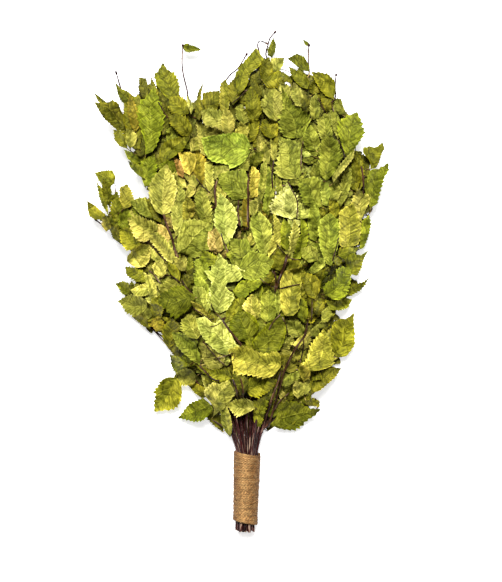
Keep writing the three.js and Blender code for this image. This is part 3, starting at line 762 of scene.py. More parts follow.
def mound_height(x, y):
    """Height of the leaf mass over a place on the table, before its topmost leaves."""
    top = handle_axis(WINDING_TOP_Y) + SOURCE_ZERO
    reach = np.hypot(x - top[0], y - top[1])
    degrees = np.degrees(np.arctan2(x - top[0], y - top[1]))
    crown = np.interp(reach, CROWN_REACHES, CROWN_HEIGHTS)
    return crown * (1 - MOUND_FALL * np.minimum(1, ((degrees - MOUND_MIDDLE) / MOUND_EDGE) ** 2))


def outline_mask(outline):
    """Which photo pixels lie within an outline."""
    inside = np.zeros(GRID_ACROSS.shape, bool)
    for (x0, y0), (x1, y1) in zip(outline, outline[1:] + outline[:1]):
        if y0 == y1:
            continue
        crosses = (y0 > GRID_DOWN) != (y1 > GRID_DOWN)
        inside ^= crosses & (GRID_ACROSS < x0 + (GRID_DOWN - y0) * (x1 - x0) / (y1 - y0))
    return inside


def cell(across, down):
    return (np.clip(down, 0, PHOTO_DOWN - 1).astype(int), np.clip(across, 0, PHOTO_ACROSS - 1).astype(int))


def bed_under(points):
    return leaf_bed[cell(*photo_pixel(points))]


def in_mass(points):
    return leaf_mass[cell(*photo_pixel(points))]


def way_out(spot, top):
    """The angle at which a spot lies from the handle's top, clockwise from straight up the photo."""
    return math.atan2(spot[0] - top[0], top[1] - spot[1])


# Pieces

class Piece:
    """The mesh of one piece, gathered in millimetres."""

    def __init__(self, name, node, slot):
        self.name = name
        self.node = node
        self.slot = slot
        self.size = 0
        self.faces = []
        self.finishes = []
        names = ["points", "tone", "leaf_place", "leaf_spot", "grain_place", "rim"]
        self.layers = {name: [] for name in names}

    def add(self, points, faces, finish, tone, leaf_place=0, leaf_spot=0, grain_place=0, rim=False):
        points = np.asarray(points, float)
        values = {"points": points, "tone": tone, "grain_place": grain_place}
        values |= {"leaf_place": leaf_place, "leaf_spot": leaf_spot}
        for layer, value in values.items():
            self.layers[layer].append(np.broadcast_to(value, points.shape))
        self.layers["rim"].append(np.broadcast_to(rim, len(points)))
        self.faces.extend([self.size + corner for corner in face] for face in faces)
        self.finishes.extend([finish] * len(faces))
        self.size += len(points)

    def to_object(self, materials):
        layers = {layer: np.concatenate(values) for layer, values in self.layers.items()}
        layers["points"][:, 2] -= np.maximum(0, layers["points"][:, 2] - PRESSED_ABOVE) * 3 / 4
        layers["points"][:, 2] = np.maximum(layers["points"][:, 2], 0.05)
        mesh = bpy.data.meshes.new(self.name)
        mesh.from_pydata((layers["points"] * MM).tolist(), [], self.faces)
        names = sorted(set(self.finishes))
        for name in names:
            mesh.materials.append(materials[name])
        mesh.polygons.foreach_set("material_index", [names.index(finish) for finish in self.finishes])
        mesh.polygons.foreach_set("use_smooth", [True] * len(self.faces))
        tone = mesh.attributes.new("tone", "FLOAT_COLOR", "POINT")
        tone.data.foreach_set("color", np.pad(layers["tone"], ((0, 0), (0, 1)), constant_values=1).ravel())
        for name in ("leaf_place", "leaf_spot", "grain_place"):
            place = mesh.attributes.new(name, "FLOAT_VECTOR", "POINT")
            place.data.foreach_set("vector", layers[name].ravel())
        ends = np.empty(2 * len(mesh.edges), int)
        mesh.edges.foreach_get("vertices", ends)
        sharp = mesh.attributes.new("sharp_edge", "BOOLEAN", "EDGE")
        sharp.data.foreach_set("value", layers["rim"][ends.reshape(-1, 2)].all(axis=1))
        made = bpy.data.objects.new(self.name, mesh)
        bpy.context.scene.collection.objects.link(made)
        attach(made, "root")
        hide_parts(self.node)


# Tubes: stems, twigs, stalks and twine

def tube_frames(line):
    """Two directions across a line at each of its points, carried along it without twisting."""
    ahead = tangents(line)
    across = np.empty_like(line)
    start = np.cross(ahead[0], UP)
    across[0] = unit(start if np.linalg.norm(start) > 1e-3 else np.array([1.0, 0, 0]))
    for i in range(1, len(line)):
        across[i] = unit(across[i - 1] - ahead[i] * (across[i - 1] @ ahead[i]))
    return across, np.cross(across, ahead)


def add_tube(piece, line, radii, sides, tones, finish="birch_bark", end_finish=None, cut=None):
    """A closed tube round a line. radii is one per ring, or per point of a ring. cut slants the first."""
    rings = len(line)
    across, rise = tube_frames(line)
    turn = np.linspace(0, 2 * math.pi, sides, endpoint=False)
    radii = np.broadcast_to(np.asarray(radii, float).reshape(rings, -1), (rings, sides))
    right = radii * np.cos(turn)
    up = radii * np.sin(turn)
    points = line[:, None] + right[..., None] * across[:, None] + up[..., None] * rise[:, None]
    if cut is not None:
        points[0] += cut[:, None] * tangents(line)[0]
    run = travelled_along(line)
    grain = np.stack([right, up, np.broadcast_to(run[:, None], right.shape)], axis=-1)
    grain[..., 2] += rng.uniform(0, 400)
    index = np.arange(rings * sides).reshape(rings, sides)
    after = np.roll(index, -1, axis=1)
    walls = np.stack([index[:-1], index[1:], after[1:], after[:-1]], axis=-1).reshape(-1, 4).tolist()
    tones = np.asarray(tones, float)
    if tones.ndim < 3:
        tones = np.broadcast_to(tones, (rings, 3))[:, None]
    tones = np.broadcast_to(tones, (rings, sides, 3)).reshape(-1, 3)
    points = points.reshape(-1, 3)
    grain = grain.reshape(-1, 3)
    piece.add(points, walls + [index[-1].tolist()], finish, tones, grain_place=grain)
    start = index[0][::-1]
    if end_finish is None:
        piece.faces.append([piece.size - len(points) + corner for corner in start])
        piece.finishes.append(finish)
        return
    # The cut face has points of its own, so that its edge stays crisp.
    heart = points[start].mean(axis=0)
    fan = [[i, (i + 1) % sides, sides] for i in range(sides)]
    face_grain = np.vstack([grain[start], [[0, 0, grain[0][2]]]])
    piece.add(np.vstack([points[start], heart]), fan, end_finish, tones[0], grain_place=face_grain)


def mix(first, second, share):
    share = np.asarray(share, float)[:, None]
    return np.asarray(first) * (1 - share) + np.asarray(second) * share


def knobs(run, spacing, height):
    """Swellings of a stem or twig at its buds."""
    wave = np.abs((run / spacing) % 1 - 0.5) * 2
    return 1 + height * np.clip(wave - 0.8, 0, 1) / 0.2


def wander(line, size):
    """The line with a slow sideways wander that starts at nothing."""
    run = even_run(line)
    moved = line.copy()
    for axis in range(3):
        bends = sum(np.sin(run / length + any_angle()) for length in (9, 17, 31))
        moved[:, axis] += size * (bends - bends[0]) * np.minimum(run / 40, 1) / 2
    return moved


# Leaves

LEAF_ROWS = 22
LEAF_HALF_COLUMNS = 3
LEAF_THICKNESS = 0.28
LEAF_GAP = 1.4
TOOTH_DEPTH = 0.6
STALK_LENGTH = 11
LEAF_OVERLAP = 1.08  # how much larger a leaf is than what shows of it
TIP_POINT = 0.09  # how far a leaf's tip is drawn out
ALONG = np.linspace(0, 1, LEAF_ROWS + 1)[:, None]
ACROSS = np.linspace(-1, 1, 2 * LEAF_HALF_COLUMNS + 1)[None, :]


def usual_margins(width):
    """Both margins of a leaf of the usual form, row by row: broad near the base, then tapering."""
    widest = rng.uniform(0.24, 0.42)
    oval = np.sin(math.pi * ALONG ** (math.log(0.5) / math.log(widest))) ** rng.uniform(0.6, 0.9)
    rhomb = np.interp(ALONG, [0, widest, 1], [0, 1, 0]) ** np.where(ALONG < widest, rng.uniform(0.35, 0.8), 1)
    angular = rng.uniform(0.2, 0.85)
    half = width / 2 * (angular * rhomb + (1 - angular) * oval) * (1 + 0.12 * angular)
    sides = []
    for _ in range(2):
        waves = 0.06 * np.sin(ALONG * rng.uniform(7, 13) + any_angle())
        uneven = 1 + waves + rng.uniform(-0.08, 0.08)
        torn = rng.uniform(0, 0.45) * (rng.uniform() < 0.3)
        tear = 1 - torn * np.exp(-((ALONG - rng.uniform(0.3, 0.9)) / rng.uniform(0.03, 0.09)) ** 2)
        sides.append(half * uneven * tear)
    bend = rng.uniform(-0.25, 0.25) * width * (ALONG - 0.5) ** 2
    return bend - sides[0], bend + sides[1]


def traced_leaf(outline):
    """A traced leaf's base, tip and both margins, row by row. Its base is the end nearer to the handle."""
    outline = np.array(outline, float)
    spans = np.linalg.norm(outline[:, None] - outline[None], axis=-1)
    ends = np.unravel_index(np.argmax(spans), spans.shape)
    base, tip = sorted(ends, key=lambda end: math.dist(outline[end], HANDLE_TOP_PIXEL))
    forward = (outline[tip] - outline[base]) / spans[base, tip]
    sideways = np.array([-forward[1], forward[0]])
    outline[tip] += forward * TIP_POINT * spans[base, tip]
    ring = np.roll(outline, -base, axis=0) - outline[base]
    turn = (tip - base) % len(outline)
    margins = []
    for chain in (ring[: turn + 1], np.vstack([ring[:1], ring[turn:][::-1]])):
        along = np.maximum.accumulate(chain @ forward) / (chain[-1] @ forward)
        margins.append(np.interp(ALONG, along, chain @ sideways) * PIXEL)
    left, right = sorted(margins, key=np.mean)
    return outline[base], outline[tip], (left, right)


def leaf_blade(length, margins, fold, curl, crumple):
    """One birch leaf, flat on its back along +Y from its base: places across, along and up, row by row."""
    left, right = margins
    midrib = (left + right) / 2
    half = np.maximum((right - left) / 2, 0.4 - 0.3 * ALONG)
    half = half * np.ones_like(ACROSS)
    edge = np.abs(ACROSS) == 1
    out = np.where(np.arange(LEAF_ROWS + 1) % 2, 1, -0.7)[:, None] * rng.uniform(0.4, 1.3, half.shape)
    ragged = rng.uniform(0.4, 1.3)
    teeth = edge * out * ragged * (TOOTH_DEPTH + 0.075 * half) * np.sin(math.pi * ALONG) ** 0.3
    x = midrib + ACROSS * half + np.sign(ACROSS) * teeth
    y = length * ALONG + 0.8 * teeth
    z = fold * np.abs(ACROSS * half) + curl * length * (ALONG - 0.4) ** 2
    z = z + rng.uniform(-0.3, 0.25) * half * np.abs(ACROSS) ** 3
    z = z + rng.uniform(-0.35, 0.35) * (ALONG - 0.4) * ACROSS * half
    for _ in range(2):
        way = any_angle()
        off_crease = x * math.cos(way) + (y - length * rng.uniform(0.3, 0.7)) * math.sin(way)
        z = z + rng.uniform(-0.46, 0.46) * np.abs(off_crease)
    for size in (18, 11, 7):
        way = any_angle()
        phase = any_angle()
        along_way = x * math.cos(way) + y * math.sin(way)
        z = z + crumple * size / 12 * np.sin(along_way * WHOLE_TURN / size + phase)
    return x, y, z


def leaf_faces():
    """The top's quads and the underside's, which share the points of the rim."""
    rows, columns = LEAF_ROWS + 1, ACROSS.shape[1]
    top = np.arange(rows * columns).reshape(rows, columns)
    under = top.copy()
    under[1:-1, 1:-1] = rows * columns + np.arange((rows - 2) * (columns - 2)).reshape(rows - 2, columns - 2)
    faces = []
    for sheet, turned in ((top, False), (under, True)):
        corners = [sheet[:-1, :-1], sheet[:-1, 1:], sheet[1:, 1:], sheet[1:, :-1]]
        quads = np.stack(corners[::-1] if turned else corners, axis=-1).reshape(-1, 4)
        faces.extend(quads.tolist())
    rim = np.zeros(top.shape, bool)
    rim[[0, -1]] = True
    rim[:, [0, -1]] = True
    return faces, np.concatenate([rim.ravel(), np.zeros((rows - 2) * (columns - 2), bool)])


LEAF_FACES, LEAF_RIM = leaf_faces()


def leaf_facing(surface):
    """Which way a leaf's upper face looks at each point within its rim."""
    return np.cross(surface[1:-1, 2:] - surface[1:-1, :-2], surface[2:, 1:-1] - surface[:-2, 1:-1])


def add_leaf(piece, surface, tone, across, along):
    """A leaf as a closed, thin blade under the points of its upper face, across and along which they lie."""
    tone = np.clip(linear(tone) * rng.uniform(0.97, 1.03, 3) * (0.96, 1, 1) * rng.uniform(0.94, 1.06), 0, 1)
    inner = surface[1:-1, 1:-1]
    facing = leaf_facing(surface)
    facing /= np.linalg.norm(facing, axis=-1)[..., None] + 1e-9
    under = inner - facing * LEAF_THICKNESS
    points = np.concatenate([surface.reshape(-1, 3), under.reshape(-1, 3)])
    seed = rng.uniform(0, 50)
    place = np.stack(np.broadcast_arrays(ACROSS, ALONG, seed), axis=-1)
    places = np.concatenate([place.reshape(-1, 3), place[1:-1, 1:-1].reshape(-1, 3)])
    spot = np.stack(np.broadcast_arrays(across, along, 9 * seed), axis=-1)
    spots = np.concatenate([spot.reshape(-1, 3), spot[1:-1, 1:-1].reshape(-1, 3)])
    under_tone = 0.72 * tone + 0.28 * linear(TONES["grey_green"])
    split = surface.shape[0] * surface.shape[1]
    tones = np.empty(points.shape)
    tones[:split] = tone
    tones[split:] = under_tone
    piece.add(points, LEAF_FACES, "birch_leaf", tones, leaf_place=places, leaf_spot=spots, rim=LEAF_RIM)


def settle(across, down, rise, lift):
    """Heights of a leaf that comes to lie on the leaf bed, and bends over what stands up under it."""
    ground = leaf_bed[cell(across, down)]
    columns = np.stack([np.ones(rise.size), across.ravel(), down.ravel()], axis=1)
    lie = (columns @ np.linalg.lstsq(columns, ground.ravel(), rcond=None)[0]).reshape(rise.shape)
    height = lie + rise
    height += np.percentile(ground + LEAF_GAP - height, rng.uniform(*lift))
    push = np.maximum(0, ground + LEAF_GAP - height)
    for _ in range(3):
        wide = np.pad(push, 1, mode="edge")
        push = np.maximum(push, (wide[:-2, 1:-1] + wide[2:, 1:-1] + wide[1:-1, :-2] + wide[1:-1, 2:]) / 4)
    return height + push


def raise_bed(across, down, height):
    """Records a leaf on the leaf bed, at points close enough to leave no pixel out."""
    rows = np.linspace(0, LEAF_ROWS, 3 * LEAF_ROWS + 1)
    columns = np.linspace(0, 2 * LEAF_HALF_COLUMNS, 6 * LEAF_HALF_COLUMNS + 1)
    fine = []
    for values in (across, down, height):
        tall = np.stack([np.interp(rows, np.arange(LEAF_ROWS + 1), column) for column in values.T], axis=1)
        fine.append(np.stack([np.interp(columns, np.arange(tall.shape[1]), row) for row in tall]))
    np.maximum.at(leaf_bed, cell(fine[0], fine[1]), fine[2])
    bed_covered[cell(fine[0], fine[1])] = True


def light_on(surface):
    """How much light falls on a leaf as it lies, as a share of what falls on the table."""
    facing = np.abs(unit(leaf_facing(surface).reshape(-1, 3).sum(axis=0)))
    window = unit(WINDOW_PLACE)
    return (np.maximum(facing @ window, 0.2) + ROOM_LIGHT) / (window[2] + ROOM_LIGHT)


def blade_in_photo(base, tip, margins, tilt):
    """A leaf blade at its place in the photo: places on the leaf, and pixels across and down."""
    base = np.array(base, float)
    tip = np.array(tip, float)
    length = np.linalg.norm(tip - base)
    forward = (tip - base) / length
    sideways = np.array([-forward[1], forward[0]])
    slim = min(1, (margins[1] - margins[0]).max() / (0.8 * length * PIXEL))
    fold = rng.uniform(0.0, 0.3) + 0.35 * (1 - slim)
    x, y, z = leaf_blade(length * PIXEL, margins, fold, rng.uniform(-0.35, 0.2), rng.uniform(0.3, 0.8))
    across = base[0] + (forward[0] * y + sideways[0] * x) / PIXEL
    down = base[1] + (forward[1] * y + sideways[1] * x) / PIXEL
    z = z + rng.uniform(-tilt, tilt) * (y - length * PIXEL / 2) + rng.uniform(-tilt, tilt) * x
    return x, y, z, across, down


def hang_leaf(surface, tone, across, along):
    """A leaf on a stalk from the nearest twig. Its base is the middle of its first row."""
    base = surface[0, LEAF_HALF_COLUMNS]
    spray = nearest_spray(base, surface[-1, LEAF_HALF_COLUMNS])
    add_leaf(spray.piece, surface, tone, across[:, ::-1], along)
    add_stalk(spray, base, unit(surface[2, LEAF_HALF_COLUMNS] - base))


def lay_leaf(tone, base, tip, margins, tilt, lift):
    """A leaf laid on the bed at its place in the photo."""
    x, y, z, across, down = blade_in_photo(base, tip, margins, tilt)
    height = settle(across, down, z, lift)
    surface = photo_place(across, down, height)[:, ::-1]
    # Painted light and shade: a leaf that leans away from the light is made lighter, one that faces it
    # darker.
    tone = np.minimum(np.array(tone) * light_on(surface) ** PAINTED_LEAN_LIGHT, 250)
    hang_leaf(surface, tone, x, y)
    raise_bed(across, down, height)


def lay_dark_leaf(base, tip, margins, rise):
    """A leaf low under the stems and twigs, darkened with painted shade. rise is its share of the mound's
    height.
    """
    x, y, z, across, down = blade_in_photo(base, tip, margins, 0)
    lowest = photo_place(*((base + tip) / 2), 0)
    height = 0.9 + np.clip(z - z.min(), 0, 6) / 4 + rise * mound_height(lowest[0], lowest[1])
    surface = photo_place(across, down, height)[:, ::-1]
    # Painted shade: the leaf is darkened, as it lies low in the shade.
    hang_leaf(surface, np.array(TONES["brown_green"]) * DARK_LEAF_PAINTED_SHADE, x, y)


def add_stalk(spray, base, direction):
    """A leaf's own side twig and stalk, from the spray's twig to its base. Only the stalk lies on the bed."""
    gaps = np.linalg.norm(spray.line - base, axis=1) - 0.3 * ((base - spray.line) @ direction)
    root = int(np.argmin(gaps[: -2]))
    start = spray.line[root]
    span = np.linalg.norm(base - start)
    shares = np.linspace(0, 1, 12)
    leave = tangents(spray.line)[root] * 0.6 * span + UP * 0.25 * span
    line = hermite(start, base + direction, leave, direction * 0.9 * span, shares[:, None])
    run = span * (1 - shares)
    above_bed = np.interp(run, [0, 3, STALK_LENGTH, STALK_LENGTH + 6], [9, 0.4, 0.4, -2])
    line[:, 2] = np.maximum(np.minimum(line[:, 2], bed_under(line) + above_bed), 0.8)
    stalk = linear(STALK_TONE if rng.uniform() < 0.5 else BARK_TONE)
    tones = mix(linear(TWIG_TONE), stalk, np.clip(1.3 - run / STALK_LENGTH, 0, 1))
    add_tube(spray.piece, line, np.interp(shares, [0, 1], [0.65, 0.5]), STALK_SIDES, tones)
    shown = line[run < STALK_LENGTH]
    np.maximum.at(leaf_bed, cell(*photo_pixel(shown)), shown[:, 2] + 0.4)


# Stems, sprays and twine

class Spray:
    """A twig with its leaves: its line from root to tip, and the piece that it becomes."""

    def __init__(self, node, line):
        self.piece = Piece("leafy_" + node, node, "leaf")
        self.line = self.trimmed(line)

    def trimmed(self, line):
        """The line up to where it would leave the leaf mass."""
        inside = in_mass(line)
        last = int(np.nonzero(inside)[0].max()) if inside.any() else len(line) - 1
        return even_line(line[: max(last - 5, 12)], len(line))

    def nearest_place(self, place):
        return self.line[int(np.argmin(np.linalg.norm(self.line - place, axis=1)))]


def nearest_spray(base, tip):
    """The spray whose twig best reaches a leaf's base from behind and below."""
    direction = unit(tip - base)
    gaps = base - twig_points
    cost = np.linalg.norm(gaps, axis=1) - 0.3 * (gaps @ direction) + np.maximum(0, -gaps[:, 2])
    return sprays[twig_owners[int(np.argmin(cost))]]


def make_stem(number, route):
    """A stem from its cut butt to its fork."""
    piece = Piece(f"bark_stem_{number:02d}", f"stem_{number:02d}", "bark")
    line = stretch_of(route, 0, route_share(route, FORK_SHARE), 90)
    line[0] += (line[0] - line[1]) * rng.uniform(-0.3, 0.25)
    run = even_run(line)
    radii = np.interp(run / run[-1], [0, 1], [STEM_BUTT_RADIUS, STEM_FORK_RADIUS])
    turn = np.linspace(0, 2 * math.pi, STEM_SIDES, endpoint=False)
    slant = rng.uniform(0.3, 1.6) * np.cos(turn + any_angle()) + rng.uniform(-0.3, 0.3, STEM_SIDES)
    ribs = 1 + 0.04 * np.sin(3 * turn + any_angle()) + 0.02 * np.sin(7 * turn)
    radii = (radii * knobs(run + rng.uniform(0, 30), 34, 0.16))[:, None] * ribs
    shade = linear(BARK_TONE) * rng.uniform(0.6, 1.4)
    tones = mix(shade, linear(TWIG_TONE), np.clip((run - 130) / 200, 0, 0.75))
    add_tube(piece, line, radii, STEM_SIDES, tones, end_finish="cut_wood", cut=slant)
    return piece


def grow_twig(spray):
    """The spray's own twig, with a bud at its tip."""
    line = wander(spray.line, 0.5)
    run = even_run(line)
    radii = np.interp(run / run[-1], [0, 1], [STEM_FORK_RADIUS, TWIG_TIP_RADIUS])
    radii = radii * knobs(run + rng.uniform(0, 20), 22, 0.25)
    line[:, 2] = np.maximum(line[:, 2], radii + 0.5)
    tones = mix(linear(TWIG_TONE), linear(BARK_TONE), np.full(len(line), rng.uniform(0, 0.7)))
    add_tube(spray.piece, line, radii, TWIG_SIDES, tones)
    add_bud(spray.piece, line[-1], line[-1] - line[-4])


def add_bud(piece, place, direction, radius=1.3):
    """A scaly bud, pointed at its tip."""
    length = rng.uniform(4.5, 6)
    shares = np.linspace(0, 1, 7)
    line = place + unit(direction) * (shares * length - 0.8)[:, None]
    radii = radius * np.sin(math.pi * (0.12 + 0.86 * shares)) ** 0.8
    line[:, 2] = np.maximum(line[:, 2], radii + 0.1)
    add_tube(piece, line, radii, TWIG_SIDES, linear(BARK_TONE))


def grow_hidden_leaves(spray):
    """Leaves all along a twig, under the leaves that show from above."""
    ahead = tangents(spray.line)
    length = line_length(spray.line)
    for distance in np.arange(12, length - 6, HIDDEN_LEAF_SPACING):
        i = int(distance / length * (len(spray.line) - 1))
        for _ in range(8):
            turn = any_angle()
            across = unit(np.cross(ahead[i], UP))
            aside = across * math.cos(turn) + np.cross(across, ahead[i]) * math.sin(turn) * 0.6
            direction = unit(ahead[i] * rng.uniform(0.3, 1.1) + aside)
            size = rng.uniform(32, 50) * (1 - 0.25 * distance / length)
            stalk_end = spray.line[i] + direction * rng.uniform(8, 14)
            sideways = unit(np.cross(direction, UP) + rng.uniform(-0.6, 0.6) * UP)
            facing = np.cross(sideways, direction)
            margins = usual_margins(size * rng.uniform(0.62, 0.82))
            blade = leaf_blade(size, margins, rng.uniform(0.1, 0.5), rng.uniform(-0.5, 0.4), 0.5)
            x, y, z = (values[..., None] for values in blade)
            surface = stalk_end + x * sideways + y * direction + z * facing
            ceiling = mound_height(surface[..., 0], surface[..., 1]) - 3
            if in_mass(surface).all() and (surface[..., 2] - ceiling).max() < 8:
                break
        else:
            continue
        surface[..., 2] = np.clip(surface[..., 2], 0.7 + 0.3 * np.abs(ACROSS), np.maximum(ceiling, 2))
        tone = list(TONES.values())[rng.integers(*HIDDEN_TONES)]
        # Painted shade: hidden leaves are darkened, as they lie under the others.
        add_leaf(spray.piece, surface, np.array(tone) * HIDDEN_PAINTED_SHADE, x[..., 0], y[..., 0])
        line = np.linspace(spray.line[i], surface[0, LEAF_HALF_COLUMNS] + direction, 5)
        tones = mix(linear(TWIG_TONE), linear(STALK_TONE), np.linspace(0, 1, 5))
        add_tube(spray.piece, line, np.linspace(0.5, 0.36, 5), STALK_SIDES, tones)


def stays_inside(base, tip, margins):
    """Whether a leaf's blade lies within the leaf mass."""
    along = ALONG * (tip - base)
    aside = unit(tip - base)[::-1] * (-1, 1) / PIXEL
    blade = base + np.vstack([along + margin * aside for margin in margins])
    return leaf_mass[cell(blade[:, 0], blade[:, 1])].all()


def at_edge(spot):
    """Whether the edge of the leaf mass is near, where lower leaves are in full light."""
    way = np.linspace(0, 2 * math.pi, 12, endpoint=False)
    ring = cell(spot[0] + EDGE_BAND * np.cos(way), spot[1] + EDGE_BAND * np.sin(way))
    return not leaf_mass[ring].all()


def fitting_leaf(spot, sizes, aim, turn, slimness):
    """Base, tip and margins of the first size of leaf that stays within the leaf mass at a spot."""
    for size in sizes:
        way = aim + rng.uniform(*turn)
        reach = np.array([math.sin(way), -math.cos(way)]) * size / 2
        share = rng.uniform(*slimness) if isinstance(slimness, tuple) else slimness
        margins = usual_margins(size * share * PIXEL)
        if stays_inside(spot - reach, spot + reach, margins):
            return spot - reach, spot + reach, margins
    return None


def tone_near(spot, choices):
    """The tone of one of the leaves that show nearest to a spot."""
    nearest = np.argsort(np.linalg.norm(SHOWN_CENTRES - spot, axis=1))[rng.integers(0, choices)]
    return np.array(TONES[SHOWN_LEAVES[nearest][0]])


def lay_lower_leaves():
    """Leaves close under those that show, turned roughly outwards, over the whole leaf mass."""
    top = photo_pixel(handle_axis(WINDING_TOP_Y) + SOURCE_ZERO)
    rows = np.arange(*LOWER_LEAF_ROWS, LOWER_LEAF_SPACING)
    spots = [(x, y) for y in rows for x in np.arange(*LOWER_LEAF_COLUMNS, LOWER_LEAF_SPACING)]
    spots = np.array(spots, float) + rng.uniform(-6, 6, (len(spots), 2))
    for spot in spots[rng.permutation(len(spots))]:
        tone = tone_near(spot, 2)
        # Painted shade: lower leaves are darkened where they lie in the gaps, less where the edge is near and
        # they are in full light.
        shade = np.interp(spot[1], SHADE_DOWN, GAP_PAINTED_SHADE) * rng.uniform(0.48, 0.84)
        if at_edge(spot):
            shade = np.interp(spot[1], SHADE_DOWN, SHOWN_PAINTED_SHADE) * rng.uniform(0.75, 1.0)
        sizes = (rng.uniform(30, 42), 30, 24, 24, 18, 18)
        leaf = fitting_leaf(spot, sizes, way_out(spot, top), (-1.1, 1.1), LOWER_LEAF_SLIMNESS)
        if leaf is not None:
            lay_leaf(tone * shade, *leaf, LOWER_LEAF_TILT, LOWER_LEAF_LIFT)


def lay_lowest_leaves():
    """Leaves low in the mass, where the table would show through those above."""
    bare = leaf_mass & ~bed_covered
    sizes = np.repeat(LOWEST_LEAF_LENGTHS, 6)
    while bare.any():
        down, across = np.argwhere(bare)[0]
        bare[max(0, down - 5) : down + 6, max(0, across - 5) : across + 6] = False
        spot = np.array([across, down], float)
        leaf = fitting_leaf(spot, sizes, 0, (0, WHOLE_TURN), LOWEST_LEAF_SLIMNESS)
        if leaf is not None:
            lay_dark_leaf(*leaf, LOWEST_LEAF_RISE)


def fill_bare_spots():
    """Leaves darkened with painted shade, where the table would show through the leaf mass."""
    for _ in range(BARE_SPOTS):
        bare = np.argwhere(leaf_mass & ~bed_covered)
        if len(bare) == 0:
            break
        down, across = bare[rng.integers(0, len(bare))]
        bed_covered[down, across] = True
        spot = np.array([across, down], float)
        # Painted shade: these leaves are darkened, as they lie deep in the mass.
        tone = np.array(TONES["brown_green"]) * rng.uniform(0.5, 0.8)
        sizes = (rng.uniform(18, 28), 20, 16, 12)
        leaf = fitting_leaf(spot, sizes, 0, (0, WHOLE_TURN), BARE_SPOT_SLIMNESS)
        if leaf is not None:
            lay_leaf(tone, *leaf, LOWER_LEAF_TILT, LOWER_LEAF_LIFT)


def lay_folded_leaves():
    """Small, narrow and folded leaves in the gaps between those that show."""
    shown = np.zeros(leaf_mass.shape, bool)
    for _, outline in SHOWN_LEAVES:
        shown |= outline_mask(outline)
    gaps = np.argwhere(leaf_mass & ~shown)
    for down, across in gaps[rng.permutation(len(gaps))[:FOLDED_LEAVES]]:
        spot = np.array([across, down], float)
        tone = tone_near(spot, 3)
        # Painted shade on the folded leaves in the gaps.
        shade = np.interp(spot[1], SHADE_DOWN, GAP_PAINTED_SHADE) * rng.uniform(0.72, 1.08)
        sizes = [rng.uniform(*FOLDED_LEAF_SIZES)]
        leaf = fitting_leaf(spot, sizes, way_out(spot, HANDLE_TOP_PIXEL), (-0.8, 0.8), FOLDED_LEAF_SLIMNESS)
        if leaf is not None:
            lay_leaf(tone * shade, *leaf, FOLDED_LEAF_TILT, FOLDED_LEAF_LIFT)


def lay_tip_twig(pixels):
    """A thin twig from the spray that carries it, out from under the leaves, to a bud at its tip."""
    pixels = np.array(pixels, float)
    heights = leaf_bed[cell(pixels[:, 0], pixels[:, 1])] * np.linspace(0.7, 0.9, len(pixels))
    points = photo_place(pixels[:, 0], pixels[:, 1], np.maximum(heights, 3))
    spray = nearest_spray(points[0], points[1])
    line = wander(smooth_line([spray.nearest_place(points[0]), *points], 40), 0.3)
    place = cell(*photo_pixel(line))
    line[:, 2] = np.where(leaf_mass[place], np.minimum(line[:, 2], leaf_bed[place] - 4), line[:, 2])
    radii = np.linspace(1.1, 0.8, 40) * knobs(even_run(line), 14, 0.35)
    line[:, 2] = np.maximum(line[:, 2], radii + 0.3)
    add_tube(spray.piece, line, radii, TWIG_SIDES, linear(BARK_TONE))
    add_bud(spray.piece, line[-1], line[-1] - line[-3], 1.6)
    leaf_end = TIP_LEAF_ENDS.get(tuple(pixels[-1]))
    if leaf_end is None:
        return
    margins = usual_margins(TIP_LEAF_SLIMNESS * math.dist(pixels[-1], leaf_end) * PIXEL)
    x, y, z, across, down = blade_in_photo(pixels[-1], leaf_end, margins, 0.2)
    height = np.maximum(line[-1, 2] + z - z[0, LEAF_HALF_COLUMNS], 0.8)
    surface = photo_place(across, down, height)[:, ::-1]
    add_leaf(spray.piece, surface, TONES["deep_green"], x[:, ::-1], y)


def lay_crossing_twig(radius, pixels):
    """A twig that lies on the leaves and dives under them at both ends."""
    pixels = smooth_line(np.pad(np.array(pixels, float), ((0, 0), (0, 1))), 24)
    heights = np.pad(leaf_bed[cell(pixels[:, 0], pixels[:, 1])] + 0.5, 2, mode="edge")
    heights = np.max([heights[i : i + 24] for i in range(5)], axis=0)
    heights = np.convolve(np.pad(heights, 1, mode="edge"), np.full(3, 1 / 3), mode="valid")
    line = photo_place(pixels[:, 0], pixels[:, 1], heights)
    line[:, 2] -= 4 * np.abs(np.linspace(-1, 1, 24)) ** 10
    spray = nearest_spray(line[0], line[-1])
    line = wander(smooth_line([spray.nearest_place(line[0]), *line], 60), 0.2)
    line[:, 2] = np.maximum(line[:, 2], radius + 0.3)
    radii = radius * np.linspace(1.1, 0.9, 60) * knobs(even_run(line), 24, 0.2)
    tones = linear(TWIG_TONE) * np.interp(radius, [0.6, 1.4], [0.32, 0.6])
    add_tube(spray.piece, line, radii, TWIG_SIDES, tones)


